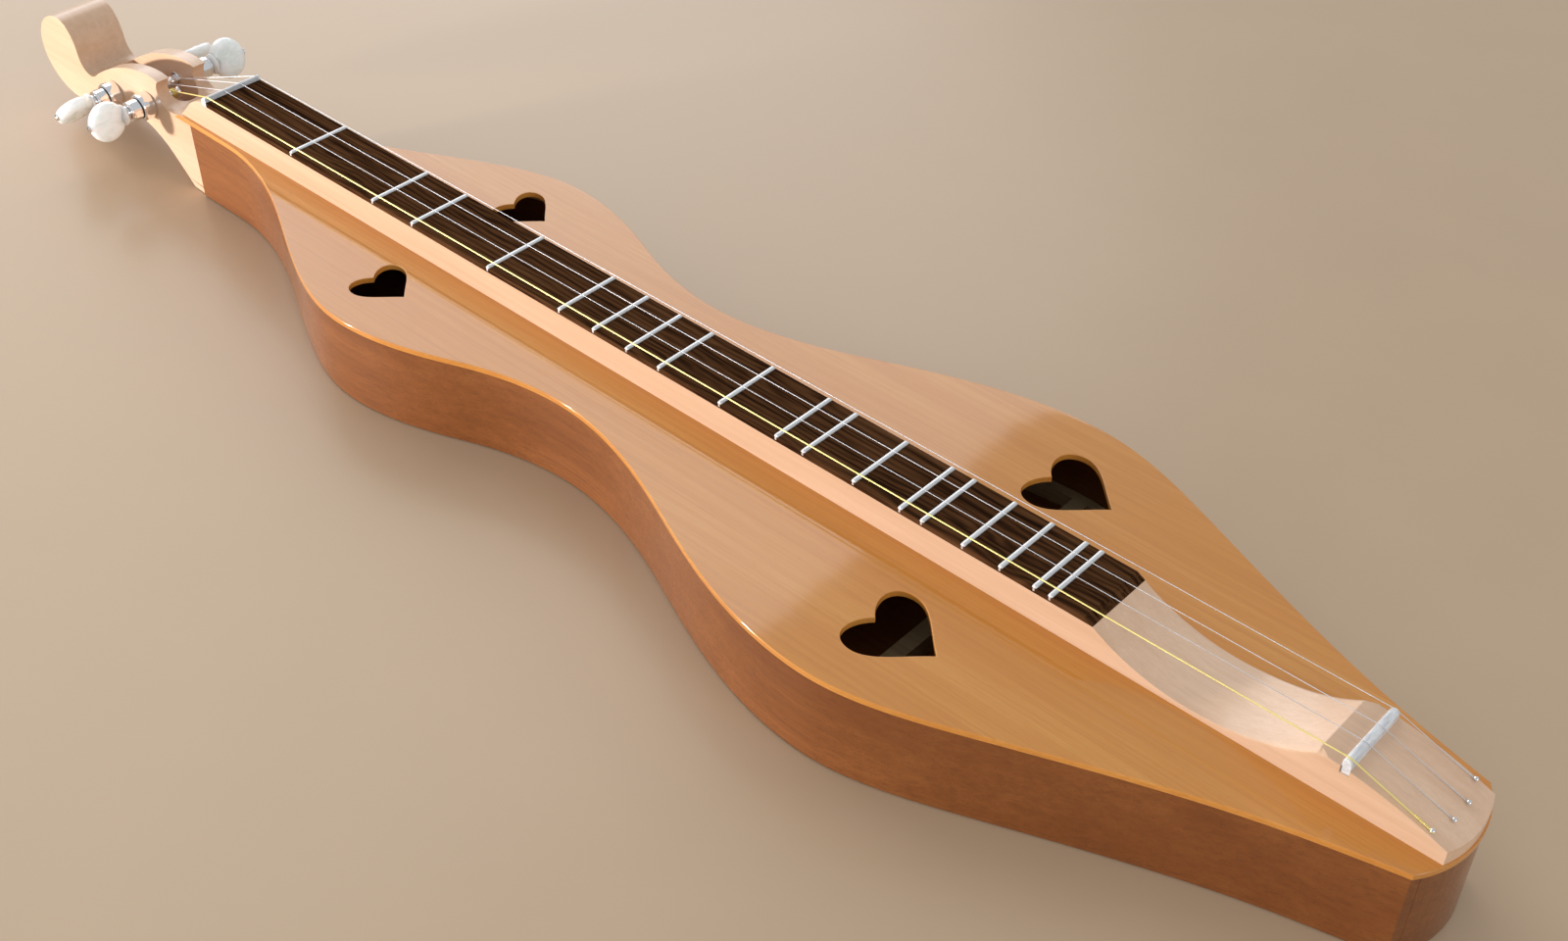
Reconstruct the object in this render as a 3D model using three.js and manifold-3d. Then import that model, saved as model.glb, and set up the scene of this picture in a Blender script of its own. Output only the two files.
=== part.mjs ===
// A four-string mountain dulcimer: a long fretted zither with an hourglass body.
// Millimetres. +X runs along the strings from the peg head to the tail, +Y points to the
// treble side and +Z up. The inner group counts X from the nut, which is where a builder
// measures from; the outer group centres the whole instrument on its origin, on the floor.

import * as THREE from 'three';
import { mergeVertices } from 'three/addons/utils/BufferGeometryUtils.js';
import Module from 'manifold-3d';

const wasm = await Module();
wasm.setup();

// ---- Driving dimensions ------------------------------------------------------------

// Scale: the vibrating string length, nut to saddle.
const scaleLength = 711;
const fretSemitones = [2, 4, 5, 7, 9, 10, 11, 12, 14, 16, 17, 19, 21, 22, 24, 26, 28, 29];

// Overall reach along X, both measured from the nut.
const headReach = 183.2;
const tailReach = 759;

// Body outline: distance from the nut, half width of the soundboard, slope of its edge.
const outlineStations = [
  { x: -60, halfWidth: 20.4, slope: 0 },
  { x: 18, halfWidth: 20.7, slope: 0.02 },
  { x: 95, halfWidth: 43.5, slope: 0.5 },
  { x: 195, halfWidth: 80.8, slope: 0 },
  { x: 262, halfWidth: 65, slope: -0.41 },
  { x: 325, halfWidth: 51.3, slope: 0 },
  { x: 415, halfWidth: 75.6, slope: 0.44 },
  { x: 518, halfWidth: 102.8, slope: 0 },
  { x: 600, halfWidth: 79.8, slope: -0.41 },
  { x: 690, halfWidth: 45.4, slope: -0.32 },
  { x: 748, halfWidth: 29.8, slope: -0.24 },
  { x: 800, halfWidth: 18.5, slope: -0.2 },
];
const outlineStep = 13;
const tailRadius = 49;

// Body shell.
const bodyDepth = 50;
const plateThickness = 3;
const sideThickness = 2.5;
const edgeOverhang = 0.8;
const glueGap = 0.2;
const sideStart = -20;
const liningThickness = 5;
const liningHeight = 8;
const braceWidth = 8;
const braceHeight = 10;
const headBlockEnd = 36;
const tailBlockStart = 712;

// Heart sound holes: where the tip is, and the length from the tip to the lobes' far end.
const upperHeart = { tip: 204.2, y: 46.9, length: 28.3 };
const lowerHeart = { tip: 555, y: 60.4, length: 37.9 };

// Half of the heart's edge, from its notch round one lobe to its tip, in shares of its length:
// how far back from the tip, and how far out from the middle line.
const heartNotch = [0.845, 0];
const heartCurves = [
  { first: [0.929, 0.084], second: [1, 0.198], end: [1, 0.317] },
  { first: [1, 0.462], second: [0.884, 0.546], end: [0.739, 0.546] },
  { first: [0.488, 0.546], second: [0.29, 0.251], end: [0, 0] },
];

// Fretboard: a riser that runs the whole length, with a dark overlay.
const fretboardWidth = 36.7;
const riserTop = 65.2;
const overlayTop = 67.8;
const nutThickness = 4;
const noseTop = 67;

// Strum hollow, a round scoop, and the sloping platform behind it.
const hollowCentre = 646;
const hollowRadius = 92;
const hollowFloor = 52.3;
const platformCrestX = 692;
const platformCrestZ = 69.2;
const platformCurveRadius = 165;

// Frets.
const crownWidth = 2.4;
const crownHeight = 1;
const tangWidth = 0.5;
const tangDepth = 1.6;
const slotClearance = 0.2;

// Nut, saddle and hitch pins.
const saddleThickness = 4;
const saddleLength = 35.6;
const saddleTop = 72.3;
const saddleCrown = 2;
const nutTop = 70.6;
const nutSlotClearance = 0.2;
const stringNutHeight = 70.05;
const stringClearance = 0.05;
const pinInset = 8.7;
const pinShankRadius = 0.8;
const pinHeadRadius = 1.3;
const pinDepth = 7;
const pinStandOut = 2.2;

// Peg head.
const headHalfWidth = 16;
const headFlareStart = -58;
const pegBoxHalfWidth = 8.5;
const pegBoxStart = -122;
const pegBoxEnd = -47;

// Planetary tuning pegs. side is -1 on the bass cheek and +1 on the treble cheek;
// turn is how far the button stands turned about the peg's axis, in degrees.
const pegs = [
  { x: -68, z: 40.3, side: -1, turn: 0 },
  { x: -105, z: 33.3, side: -1, turn: 43 },
  { x: -76, z: 43.3, side: 1, turn: 20 },
  { x: -113, z: 32.8, side: 1, turn: -60 },
];
const pegGap = 0.3;
const bushingRadius = 4.8;
const barrelRadius = 8;
const barrelEnd = 23.5;
const smallBarrelRadius = 6.2;
const smallBarrelEnd = 30.2;
const grooveWidth = 0.7;
const grooveDepth = 0.8;
const postRadius = 3;
const postReach = 4.5;
const postInnerEnd = 19.8;
const shaftRadius = 3.6;
const screwRadius = 1.4;
const buttonRadius = 12.1;
const buttonReach = 11.2;
const buttonThickness = 8;
const buttonCentre = 44.2;
const shoulderRadius = 6.4;

// ---- Derived values ----------------------------------------------------------------

const nutX = (headReach - tailReach) / 2;
const soundboardBottom = bodyDepth - plateThickness;
const halfBoard = fretboardWidth / 2;
const sideInnerInset = edgeOverhang + sideThickness;
const blockInset = sideInnerInset + glueGap;
const tailCentre = tailReach - tailRadius;

const fretX = (semitone) => scaleLength * (1 - 2 ** (-semitone / 12));
const platformZ = (x) => platformCrestZ - (x - platformCrestX) ** 2 / (2 * platformCurveRadius);

// ---- Materials ---------------------------------------------------------------------

const finish = (color, roughness, metalness = 0) => () =>
  new THREE.MeshStandardMaterial({ color, roughness, metalness });

const mahogany = finish(0x8a4a2c, 0.35);
const topWood = finish(0xcf9460, 0.35);
const maple = finish(0xf2c495, 0.3);
const rosewood = finish(0x3a2214, 0.4);
const spruce = finish(0xd9b98a, 0.7);
const bone = finish(0xe4e2dc, 0.45);
const nickelSilver = finish(0xc9c9c9, 0.25, 1);
const steel = finish(0xbdbdbd, 0.25, 1);
const bronze = finish(0xc9a24e, 0.3, 1);
const chrome = finish(0xe0e0e0, 0.08, 1);
const pearloid = finish(0xdfe6dd, 0.25);

// Each string's place across the board, its radius, the peg that it winds on and its metal.
const strings = [
  { name: 'string_bass', y: -16.5, radius: 0.33, peg: 0, material: bronze },
  { name: 'string_tenor', y: -5.5, radius: 0.17, peg: 1, material: steel },
  { name: 'string_middle', y: 5.5, radius: 0.17, peg: 3, material: steel },
  { name: 'string_treble', y: 16.5, radius: 0.17, peg: 2, material: steel },
];

// ---- Solid modelling helpers -------------------------------------------------------

function solidOf(geometry) {
  const bare = geometry.clone();
  for (const name of Object.keys(bare.attributes)) {
    if (name !== 'position') {
      bare.deleteAttribute(name);
    }
  }
  const merged = mergeVertices(bare, 1e-5);
  return new wasm.Manifold(new wasm.Mesh({
    numProp: 3,
    vertProperties: new Float32Array(merged.attributes.position.array),
    triVerts: new Uint32Array(merged.index.array),
  }));
}

function geometryOf(solid) {
  const mesh = solid.getMesh();
  const geometry = new THREE.BufferGeometry();
  geometry.setAttribute('position', new THREE.BufferAttribute(mesh.vertProperties, 3));
  geometry.setIndex(new THREE.BufferAttribute(mesh.triVerts, 1));
  return geometry;
}

function shapeThrough(points) {
  return new THREE.Shape(points.map(([x, y]) => new THREE.Vector2(x, y)));
}

// A plan shape in X and Y, raised from zLow to zHigh.
function planPrism(shape, zLow, zHigh, curveSegments = 12) {
  const geometry = new THREE.ExtrudeGeometry(shape, {
    depth: zHigh - zLow,
    bevelEnabled: false,
    curveSegments,
  });
  return solidOf(geometry.translate(0, 0, zLow));
}

// A side-view shape in X and Z, stretched along Y from yLow to yHigh.
function profilePrism(shape, yLow, yHigh, curveSegments = 12) {
  const geometry = new THREE.ExtrudeGeometry(shape, {
    depth: yHigh - yLow,
    bevelEnabled: false,
    curveSegments,
  });
  return solidOf(geometry.rotateX(Math.PI / 2).translate(0, yHigh, 0));
}

function box(xLow, xHigh, yLow, yHigh, zLow, zHigh) {
  const geometry = new THREE.BoxGeometry(xHigh - xLow, yHigh - yLow, zHigh - zLow);
  geometry.translate((xLow + xHigh) / 2, (yLow + yHigh) / 2, (zLow + zHigh) / 2);
  return solidOf(geometry);
}

// A solid of revolution about Y. Each point is [radius, y]; the profile closes on itself.
function turned(points, segments = 20) {
  const profile = points.map(([radius, y]) => new THREE.Vector2(radius, y));
  if (points[0][0] > 0) {
    profile.push(profile[0].clone());
  }
  return solidOf(new THREE.LatheGeometry(profile, segments));
}

// A straight round bar between two points.
function bar(from, to, radius, sides) {
  const axis = new THREE.Vector3().subVectors(to, from);
  const geometry = new THREE.CylinderGeometry(radius, radius, axis.length(), sides);
  const turn = new THREE.Quaternion().setFromUnitVectors(
    new THREE.Vector3(0, 1, 0),
    axis.clone().normalize(),
  );
  geometry.applyQuaternion(turn);
  const middle = new THREE.Vector3().addVectors(from, to).multiplyScalar(0.5);
  geometry.translate(middle.x, middle.y, middle.z);
  return solidOf(geometry);
}

function joined(solids) {
  return solids.reduce((whole, piece) => whole.add(piece));
}

function addPiece(parent, name, solid, material) {
  const mesh = new THREE.Mesh(geometryOf(solid), material());
  mesh.name = name;
  parent.add(mesh);
}

// ---- Body outline ------------------------------------------------------------------

// Half width and edge slope at x, by cubic blending between the stations.
function edgeAt(x) {
  const last = outlineStations.length - 2;
  const found = outlineStations.findIndex((station) => station.x > x) - 1;
  const index = Math.min(Math.max(found, 0), last);
  const a = outlineStations[index];
  const b = outlineStations[index + 1];
  const span = b.x - a.x;
  const t = (x - a.x) / span;
  const halfWidth = (2 * t ** 3 - 3 * t ** 2 + 1) * a.halfWidth
    + (t ** 3 - 2 * t ** 2 + t) * span * a.slope
    + (-2 * t ** 3 + 3 * t ** 2) * b.halfWidth
    + (t ** 3 - t ** 2) * span * b.slope;
  const slope = ((6 * t ** 2 - 6 * t) * (a.halfWidth - b.halfWidth)) / span
    + (3 * t ** 2 - 4 * t + 1) * a.slope
    + (3 * t ** 2 - 2 * t) * b.slope;
  return { halfWidth, slope };
}

// The hourglass in plan, set in from the soundboard's edge, and open past the tail.
function hourglass(inset) {
  const edge = [];
  const first = outlineStations[0].x;
  const last = outlineStations[outlineStations.length - 1].x;
  for (let x = first; x <= last; x += outlineStep) {
    const { halfWidth, slope } = edgeAt(x);
    const stretch = Math.hypot(1, slope);
    edge.push([x + (inset * slope) / stretch, halfWidth - inset / stretch]);
  }
  const mirrored = edge.map(([x, y]) => [x, -y]);
  return shapeThrough([...mirrored, ...edge.reverse()]);
}

// Everything on the head side of the round tail end.
function tailLimit(inset) {
  const radius = tailRadius - inset;
  const far = 130;
  const shape = new THREE.Shape();
  shape.moveTo(-100, -far);
  shape.lineTo(tailCentre, -far);
  shape.lineTo(tailCentre, -radius);
  shape.absarc(tailCentre, 0, radius, -Math.PI / 2, Math.PI / 2, false);
  shape.lineTo(tailCentre, far);
  shape.lineTo(-100, far);
  return shape;
}

function bodyPrism(inset, tailInset, xLow, zLow, zHigh) {
  const outline = planPrism(hourglass(inset), zLow, zHigh);
  const limit = planPrism(tailLimit(tailInset), zLow - 1, zHigh + 1, 20);
  return outline.intersect(limit).intersect(box(xLow, 900, -130, 130, zLow - 2, zHigh + 2));
}

// ---- Peg head profile, with the cove behind the nut ----------------------------------

function coveCurve(path) {
  path.moveTo(-53, 59.8);
  path.bezierCurveTo(-59.5, 54, -54.5, 44.5, -45.5, 44.5);
  path.bezierCurveTo(-34.5, 44.5, -27.5, 50.5, -20, 58.6);
  path.bezierCurveTo(-15.4, 63.6, -9.5, 65.4, -nutThickness, noseTop);
  return path;
}

// The space above the cove, used to cut the head, the soundboard and the fretboard.
function coveSpace() {
  const space = coveCurve(new THREE.Shape());
  space.lineTo(-nutThickness, 90);
  space.lineTo(-53, 90);
  return profilePrism(space, -40, 40, 10);
}

function headProfile() {
  const profile = new THREE.Shape();
  profile.moveTo(headBlockEnd, soundboardBottom);
  profile.lineTo(-36, soundboardBottom);
  profile.lineTo(-36, 60);
  profile.lineTo(-53, 59.8);
  profile.bezierCurveTo(-55, 60.5, -58, 60.8, -61, 60.8);
  profile.bezierCurveTo(-86, 60.8, -113, 46, -124, 37.9);
  profile.bezierCurveTo(-126, 36.3, -128.5, 34.6, -131, 34.6);
  profile.bezierCurveTo(-137.5, 34.6, -141, 38.5, -142, 46);
  profile.bezierCurveTo(-143.2, 55, -148, 63.7, -157.5, 63.7);
  profile.bezierCurveTo(-168, 63.7, -headReach, 54, -headReach, 38);
  profile.bezierCurveTo(-headReach, 24, -170, 12.6, -153, 12.6);
  profile.bezierCurveTo(-138, 12.6, -105, 24.5, -78, 26);
  profile.bezierCurveTo(-66, 25, -48, 12, -33, 0);
  profile.lineTo(sideStart - glueGap, 0);
  profile.lineTo(sideStart - glueGap, plateThickness);
  profile.lineTo(headBlockEnd, plateThickness);
  return profile;
}

function headPlan() {
  const neckHalf = edgeAt(0).halfWidth - blockInset;
  const halfPlan = [
    [-headReach - 10, headHalfWidth],
    [headFlareStart, headHalfWidth],
    [sideStart - glueGap, halfBoard],
    [sideStart - glueGap, neckHalf],
    [headBlockEnd, neckHalf],
  ];
  const mirrored = halfPlan.map(([x, y]) => [x, -y]);
  return shapeThrough([...mirrored, ...halfPlan.reverse()]);
}

// The slot that holds the posts: round at its nut end, with a floor that rises to the nut.
function pegBoxSpace() {
  const radius = pegBoxHalfWidth;
  const plan = new THREE.Shape();
  plan.moveTo(pegBoxStart, -radius);
  plan.lineTo(pegBoxEnd - radius, -radius);
  plan.absarc(pegBoxEnd - radius, 0, radius, -Math.PI / 2, Math.PI / 2, false);
  plan.lineTo(pegBoxStart, radius);
  const aboveFloor = shapeThrough([
    [pegBoxStart - 5, 25.5],
    [-60, 31],
    [pegBoxEnd + 5, 36],
    [pegBoxEnd + 5, 90],
    [pegBoxStart - 5, 90],
  ]);
  return planPrism(plan, 20, 95, 10).intersect(profilePrism(aboveFloor, -20, 20));
}

function pegHole({ x, z, side }) {
  const inner = new THREE.Vector3(x, side * (pegBoxHalfWidth - 2), z);
  const outer = new THREE.Vector3(x, side * (headHalfWidth + 2), z);
  return bar(inner, outer, bushingRadius + pegGap, 20);
}

function buildPegHead(parent) {
  const blank = profilePrism(headProfile(), -halfBoard - 1, halfBoard + 1, 8);
  const tapered = blank.intersect(planPrism(headPlan(), -5, 95));
  const spaces = joined([coveSpace(), pegBoxSpace(), ...pegs.map(pegHole)]);
  addPiece(parent, 'peg_head', tapered.subtract(spaces), maple);
}

// ---- Body --------------------------------------------------------------------------

// A heart with its tip towards the tail: out along one half's curves, and back along the other's.
function heartShape({ tip, y, length }) {
  const at = ([back, out]) => [tip - back * length, y + out * length];
  const mirrored = ([back, out]) => at([back, -out]);
  const shape = new THREE.Shape();
  shape.moveTo(...at(heartNotch));
  for (const { first, second, end } of heartCurves) {
    shape.bezierCurveTo(...at(first), ...at(second), ...at(end));
  }
  for (let i = heartCurves.length - 1; i >= 0; i -= 1) {
    const { first, second } = heartCurves[i];
    const end = i > 0 ? heartCurves[i - 1].end : heartNotch;
    shape.bezierCurveTo(...mirrored(second), ...mirrored(first), ...mirrored(end));
  }
  return shape;
}

function buildSoundboard(parent) {
  const blank = bodyPrism(0, 0, -40, soundboardBottom, bodyDepth);
  const hearts = [upperHeart, lowerHeart].flatMap((heart) => [heart, { ...heart, y: -heart.y }]);
  const holes = hearts.map((heart) => planPrism(heartShape(heart), 40, 60, 6));
  addPiece(parent, 'soundboard', blank.subtract(joined([coveSpace(), ...holes])), topWood);
}

function buildBackPlate(parent) {
  const plate = bodyPrism(edgeOverhang, edgeOverhang, sideStart, 0, plateThickness);
  addPiece(parent, 'back_plate', plate, mahogany);
}

// A band that follows the outline on one side of the body.
function edgeBand(side, outerInset, innerInset, xLow, xHigh, zLow, zHigh) {
  const outer = bodyPrism(outerInset, edgeOverhang, xLow, zLow, zHigh);
  const inner = planPrism(hourglass(innerInset), zLow - 5, zHigh + 5);
  const yLow = side < 0 ? -130 : 1;
  return outer.subtract(inner).intersect(box(xLow - 1, xHigh, yLow, yLow + 129, zLow, zHigh));
}

function buildSides(parent) {
  for (const [side, label] of [[-1, 'bass'], [1, 'treble']]) {
    const rib = edgeBand(side, edgeOverhang, sideInnerInset, sideStart, 900, plateThickness,
      soundboardBottom);
    addPiece(parent, `side_${label}`, rib, mahogany);
    const liningInner = blockInset + liningThickness;
    const from = headBlockEnd + 1;
    const to = tailBlockStart - 1;
    const bottom = edgeBand(side, blockInset, liningInner, from, to, plateThickness,
      plateThickness + liningHeight);
    addPiece(parent, `lining_back_${label}`, bottom, spruce);
    const top = edgeBand(side, blockInset, liningInner, from, to, soundboardBottom - liningHeight,
      soundboardBottom);
    addPiece(parent, `lining_top_${label}`, top, spruce);
  }
}

function buildTailBlock(parent) {
  const block = bodyPrism(blockInset, edgeOverhang, tailBlockStart, plateThickness, soundboardBottom);
  addPiece(parent, 'tail_block', block, mahogany);
}

function buildBraces(parent) {
  const braces = [
    { name: 'brace_top_upper', x: 262, zLow: soundboardBottom - braceHeight },
    { name: 'brace_top_lower', x: 462, zLow: soundboardBottom - braceHeight },
    { name: 'brace_back_upper', x: 200, zLow: plateThickness },
    { name: 'brace_back_lower', x: 520, zLow: plateThickness },
  ];
  for (const { name, x, zLow } of braces) {
    const ends = [x - braceWidth / 2, x + braceWidth / 2].map((end) => edgeAt(end).halfWidth);
    const reach = Math.min(...ends) - blockInset - liningThickness - 2;
    const brace = box(x - braceWidth / 2, x + braceWidth / 2, -reach, reach, zLow, zLow + braceHeight);
    addPiece(parent, name, brace, spruce);
  }
}

// ---- Fretboard ---------------------------------------------------------------------

function hollowSpace() {
  const centreZ = hollowFloor + hollowRadius;
  const top = 95;
  const half = Math.acos((centreZ - top) / hollowRadius);
  const space = new THREE.Shape();
  space.absarc(hollowCentre, centreZ, hollowRadius, -Math.PI / 2 - half, -Math.PI / 2 + half, false);
  return profilePrism(space, -30, 30, 40);
}

function pinPlace({ y }) {
  const x = tailCentre + Math.sqrt((tailRadius - pinInset) ** 2 - y ** 2);
  return new THREE.Vector3(x, y, platformZ(x));
}

function buildFretboard(parent) {
  const past = tailReach + 6;
  const profile = new THREE.Shape();
  profile.moveTo(-45, bodyDepth);
  profile.lineTo(past, bodyDepth);
  profile.lineTo(past, platformZ(past));
  profile.quadraticCurveTo((past + platformCrestX) / 2, platformCrestZ, platformCrestX, platformCrestZ);
  profile.lineTo(hollowCentre, platformCrestZ);
  profile.lineTo(hollowCentre, riserTop);
  profile.lineTo(-nutThickness - glueGap, riserTop);
  profile.lineTo(-nutThickness - glueGap, noseTop);
  profile.lineTo(-45, noseTop);
  const blank = profilePrism(profile, -halfBoard, halfBoard, 12);
  const trimmed = blank.intersect(planPrism(tailLimit(edgeOverhang), 40, 80, 20));
  const seatHalf = saddleThickness / 2 + glueGap;
  const seat = box(scaleLength - seatHalf, scaleLength + seatHalf, -30, 30, riserTop, 90);
  const pinHoles = strings.map((string) => {
    const place = pinPlace(string);
    const bottom = place.clone().add(new THREE.Vector3(0, 0, -pinDepth - 0.5));
    return bar(bottom, place.clone().add(new THREE.Vector3(0, 0, 5)), pinShankRadius + 0.3, 10);
  });
  const cuts = joined([coveSpace(), hollowSpace(), seat, ...pinHoles]);
  addPiece(parent, 'fretboard', trimmed.subtract(cuts), maple);
}

function buildOverlay(parent) {
  const blank = box(glueGap, hollowCentre, -halfBoard, halfBoard, riserTop, overlayTop);
  const slotHalf = tangWidth / 2 + slotClearance;
  const slots = fretSemitones.map((semitone) => {
    const x = fretX(semitone);
    return box(x - slotHalf, x + slotHalf, -30, 30, overlayTop - tangDepth - slotClearance, 80);
  });
  addPiece(parent, 'fretboard_overlay', blank.subtract(joined([hollowSpace(), ...slots])), rosewood);
}

function buildFrets(parent) {
  const section = new THREE.Shape();
  section.moveTo(-tangWidth / 2, -tangDepth);
  section.lineTo(tangWidth / 2, -tangDepth);
  section.lineTo(tangWidth / 2, 0);
  section.lineTo(crownWidth / 2, 0);
  section.absellipse(0, 0, crownWidth / 2, crownHeight, 0, Math.PI, false);
  section.lineTo(-tangWidth / 2, 0);
  const fret = profilePrism(section, -halfBoard, halfBoard, 6);
  fretSemitones.forEach((semitone, index) => {
    const placed = fret.translate([fretX(semitone), 0, overlayTop]);
    addPiece(parent, `fret_${String(index + 1).padStart(2, '0')}`, placed, nickelSilver);
  });
}

function buildNut(parent) {
  const profile = new THREE.Shape();
  profile.moveTo(-nutThickness, riserTop);
  profile.lineTo(0, riserTop);
  profile.lineTo(0, nutTop - 0.6);
  profile.quadraticCurveTo(-0.2, nutTop, -1.2, nutTop);
  profile.quadraticCurveTo(-3.4, nutTop - 0.2, -nutThickness, nutTop - 2);
  const blank = profilePrism(profile, -halfBoard, halfBoard, 5);
  const grooves = strings.map((string) => stringSolid(string, string.radius + nutSlotClearance));
  addPiece(parent, 'nut', blank.subtract(joined(grooves)), bone);
}

function buildSaddle(parent) {
  const half = saddleThickness / 2;
  const profile = new THREE.Shape();
  profile.moveTo(scaleLength - half, riserTop);
  profile.lineTo(scaleLength + half, riserTop);
  profile.lineTo(scaleLength + half, saddleTop - saddleCrown);
  profile.quadraticCurveTo(scaleLength + half / 2, saddleTop, scaleLength, saddleTop);
  profile.quadraticCurveTo(scaleLength - half / 2, saddleTop, scaleLength - half, saddleTop - saddleCrown);
  addPiece(parent, 'saddle', profilePrism(profile, -saddleLength / 2, saddleLength / 2, 5), bone);
}

function buildHitchPins(parent) {
  const shank = pinShankRadius;
  const head = pinHeadRadius;
  const pin = turned([
    [0, -pinDepth],
    [shank * 0.5, -pinDepth],
    [shank, -pinDepth + 1],
    [shank, pinStandOut - 1.1],
    [head, pinStandOut - 0.8],
    [head * 0.8, pinStandOut - 0.2],
    [0, pinStandOut],
  ], 10).rotate([90, 0, 0]);
  strings.forEach((string, index) => {
    const place = pinPlace(string);
    addPiece(parent, `hitch_pin_${index + 1}`, pin.translate([place.x, place.y, place.z]), steel);
  });
}

// A string runs straight from its hitch pin over the saddle and the nut to the top of its post.
function stringSolid({ y, radius, peg }, solidRadius) {
  const { x: postX, z: postZ, side } = pegs[peg];
  const lift = radius + stringClearance;
  const pin = pinPlace({ y });
  const route = [
    new THREE.Vector3(pin.x - pinShankRadius - 0.3, y, pin.z + radius + 0.4),
    new THREE.Vector3(scaleLength, y, saddleTop + lift),
    new THREE.Vector3(0, y, stringNutHeight + lift),
    new THREE.Vector3(postX, side * 1.6, postZ + postRadius + radius + 0.35),
  ];
  const spans = route.slice(1).map((end, index) => bar(route[index], end, solidRadius, 6));
  const bends = route.slice(1, -1).map((bend) =>
    solidOf(new THREE.SphereGeometry(solidRadius, 6, 4).translate(bend.x, bend.y, bend.z)));
  return joined([...spans, ...bends]);
}

function buildStrings(parent) {
  for (const string of strings) {
    addPiece(parent, string.name, stringSolid(string, string.radius), string.material);
  }
}

// ---- Tuning pegs -------------------------------------------------------------------

// Each peg is drawn pointing to -Y, about its own axis, and turned round for the other cheek.
function housingSolid() {
  const bore = postRadius + 0.35;
  const face = -headHalfWidth - pegGap;
  return turned([
    [bore, -pegBoxHalfWidth - pegGap],
    [bore, -postInnerEnd - 0.3],
    [shaftRadius + 0.3, -postInnerEnd - 0.3],
    [shaftRadius + 0.3, -smallBarrelEnd],
    [smallBarrelRadius - 0.6, -smallBarrelEnd],
    [smallBarrelRadius, -smallBarrelEnd + 0.6],
    [smallBarrelRadius, -barrelEnd - grooveWidth],
    [smallBarrelRadius - grooveDepth, -barrelEnd - grooveWidth],
    [smallBarrelRadius - grooveDepth, -barrelEnd],
    [barrelRadius - 0.8, -barrelEnd],
    [barrelRadius, -barrelEnd + 0.8],
    [barrelRadius, face],
    [bushingRadius, face],
    [bushingRadius, -pegBoxHalfWidth - pegGap],
  ]);
}

function postSolid() {
  const waist = postRadius - 0.5;
  return turned([
    [0, -postInnerEnd],
    [postRadius, -postInnerEnd],
    [postRadius, -5],
    [waist, -4],
    [waist, 3],
    [postRadius, 3.7],
    [postRadius - 0.4, postReach],
    [0, postReach],
  ], 16);
}

function shaftSolid() {
  const outerEnd = buttonCentre + buttonReach;
  return turned([
    [0, -outerEnd - 1.2],
    [screwRadius * 1.2, -outerEnd - 0.9],
    [screwRadius * 1.5, -outerEnd - 0.2],
    [screwRadius, -outerEnd - 0.2],
    [screwRadius, -32],
    [shaftRadius, -32],
    [shaftRadius, -postInnerEnd - 0.6],
    [0, -postInnerEnd - 0.6],
  ], 12);
}

function buttonSolid() {
  const half = buttonThickness / 2;
  const disc = turned([
    [0, -half],
    [buttonRadius - 3.4, -half + 0.3],
    [buttonRadius - 0.8, -half + 1.8],
    [buttonRadius, 0],
    [buttonRadius - 0.8, half - 1.8],
    [buttonRadius - 3.4, half - 0.3],
    [0, half],
  ]).rotate([0, 0, 90]).scale([1, buttonReach / buttonRadius, 1])
    .translate([0, -buttonCentre, 0]);
  const neck = turned([
    [0, -40],
    [3.6, -40],
    [4.6, -35.5],
    [shoulderRadius - 0.4, -35.2],
    [shoulderRadius, -34.6],
    [shoulderRadius, -33.4],
    [4.6, -32.3],
    [0, -32.3],
  ], 16);
  const bore = bar(new THREE.Vector3(0, -20, 0), new THREE.Vector3(0, -70, 0), screwRadius + 0.3, 12);
  return disc.add(neck).subtract(bore);
}

function buildPegs(parent) {
  const housing = housingSolid();
  const post = postSolid();
  const shaft = shaftSolid();
  const button = buttonSolid();
  pegs.forEach(({ x, z, side, turn }, index) => {
    const peg = new THREE.Group();
    peg.position.set(x, 0, z);
    peg.rotation.z = side < 0 ? 0 : Math.PI;
    const knob = new THREE.Group();
    knob.rotation.y = THREE.MathUtils.degToRad(turn);
    peg.add(knob);
    parent.add(peg);
    addPiece(peg, `peg_housing_${index + 1}`, housing, chrome);
    addPiece(peg, `peg_post_${index + 1}`, post, chrome);
    addPiece(knob, `peg_shaft_${index + 1}`, shaft, chrome);
    addPiece(knob, `peg_button_${index + 1}`, button, pearloid);
  });
}

// ---- Assembly ----------------------------------------------------------------------

const fromNut = new THREE.Group();
fromNut.position.x = nutX;

buildPegHead(fromNut);
buildSoundboard(fromNut);
buildBackPlate(fromNut);
buildSides(fromNut);
buildTailBlock(fromNut);
buildBraces(fromNut);
buildFretboard(fromNut);
buildOverlay(fromNut);
buildFrets(fromNut);
buildNut(fromNut);
buildSaddle(fromNut);
buildHitchPins(fromNut);
buildStrings(fromNut);
buildPegs(fromNut);

const group = new THREE.Group();
group.add(fromNut);

export default group;
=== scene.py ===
"""Looks for the mountain dulcimer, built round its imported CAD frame.

Every visible piece is modelled here again, finer than its CAD solid and in the same place.
Sizes are millimetres counted from the nut's front edge, as in the CAD: place() turns them
into metres in the row frame. The braces, linings and tail block stay CAD nodes and only
get a material.
"""

import math

import bmesh
import bpy
from mathutils import Matrix, Vector
from mathutils.geometry import tessellate_polygon


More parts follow.
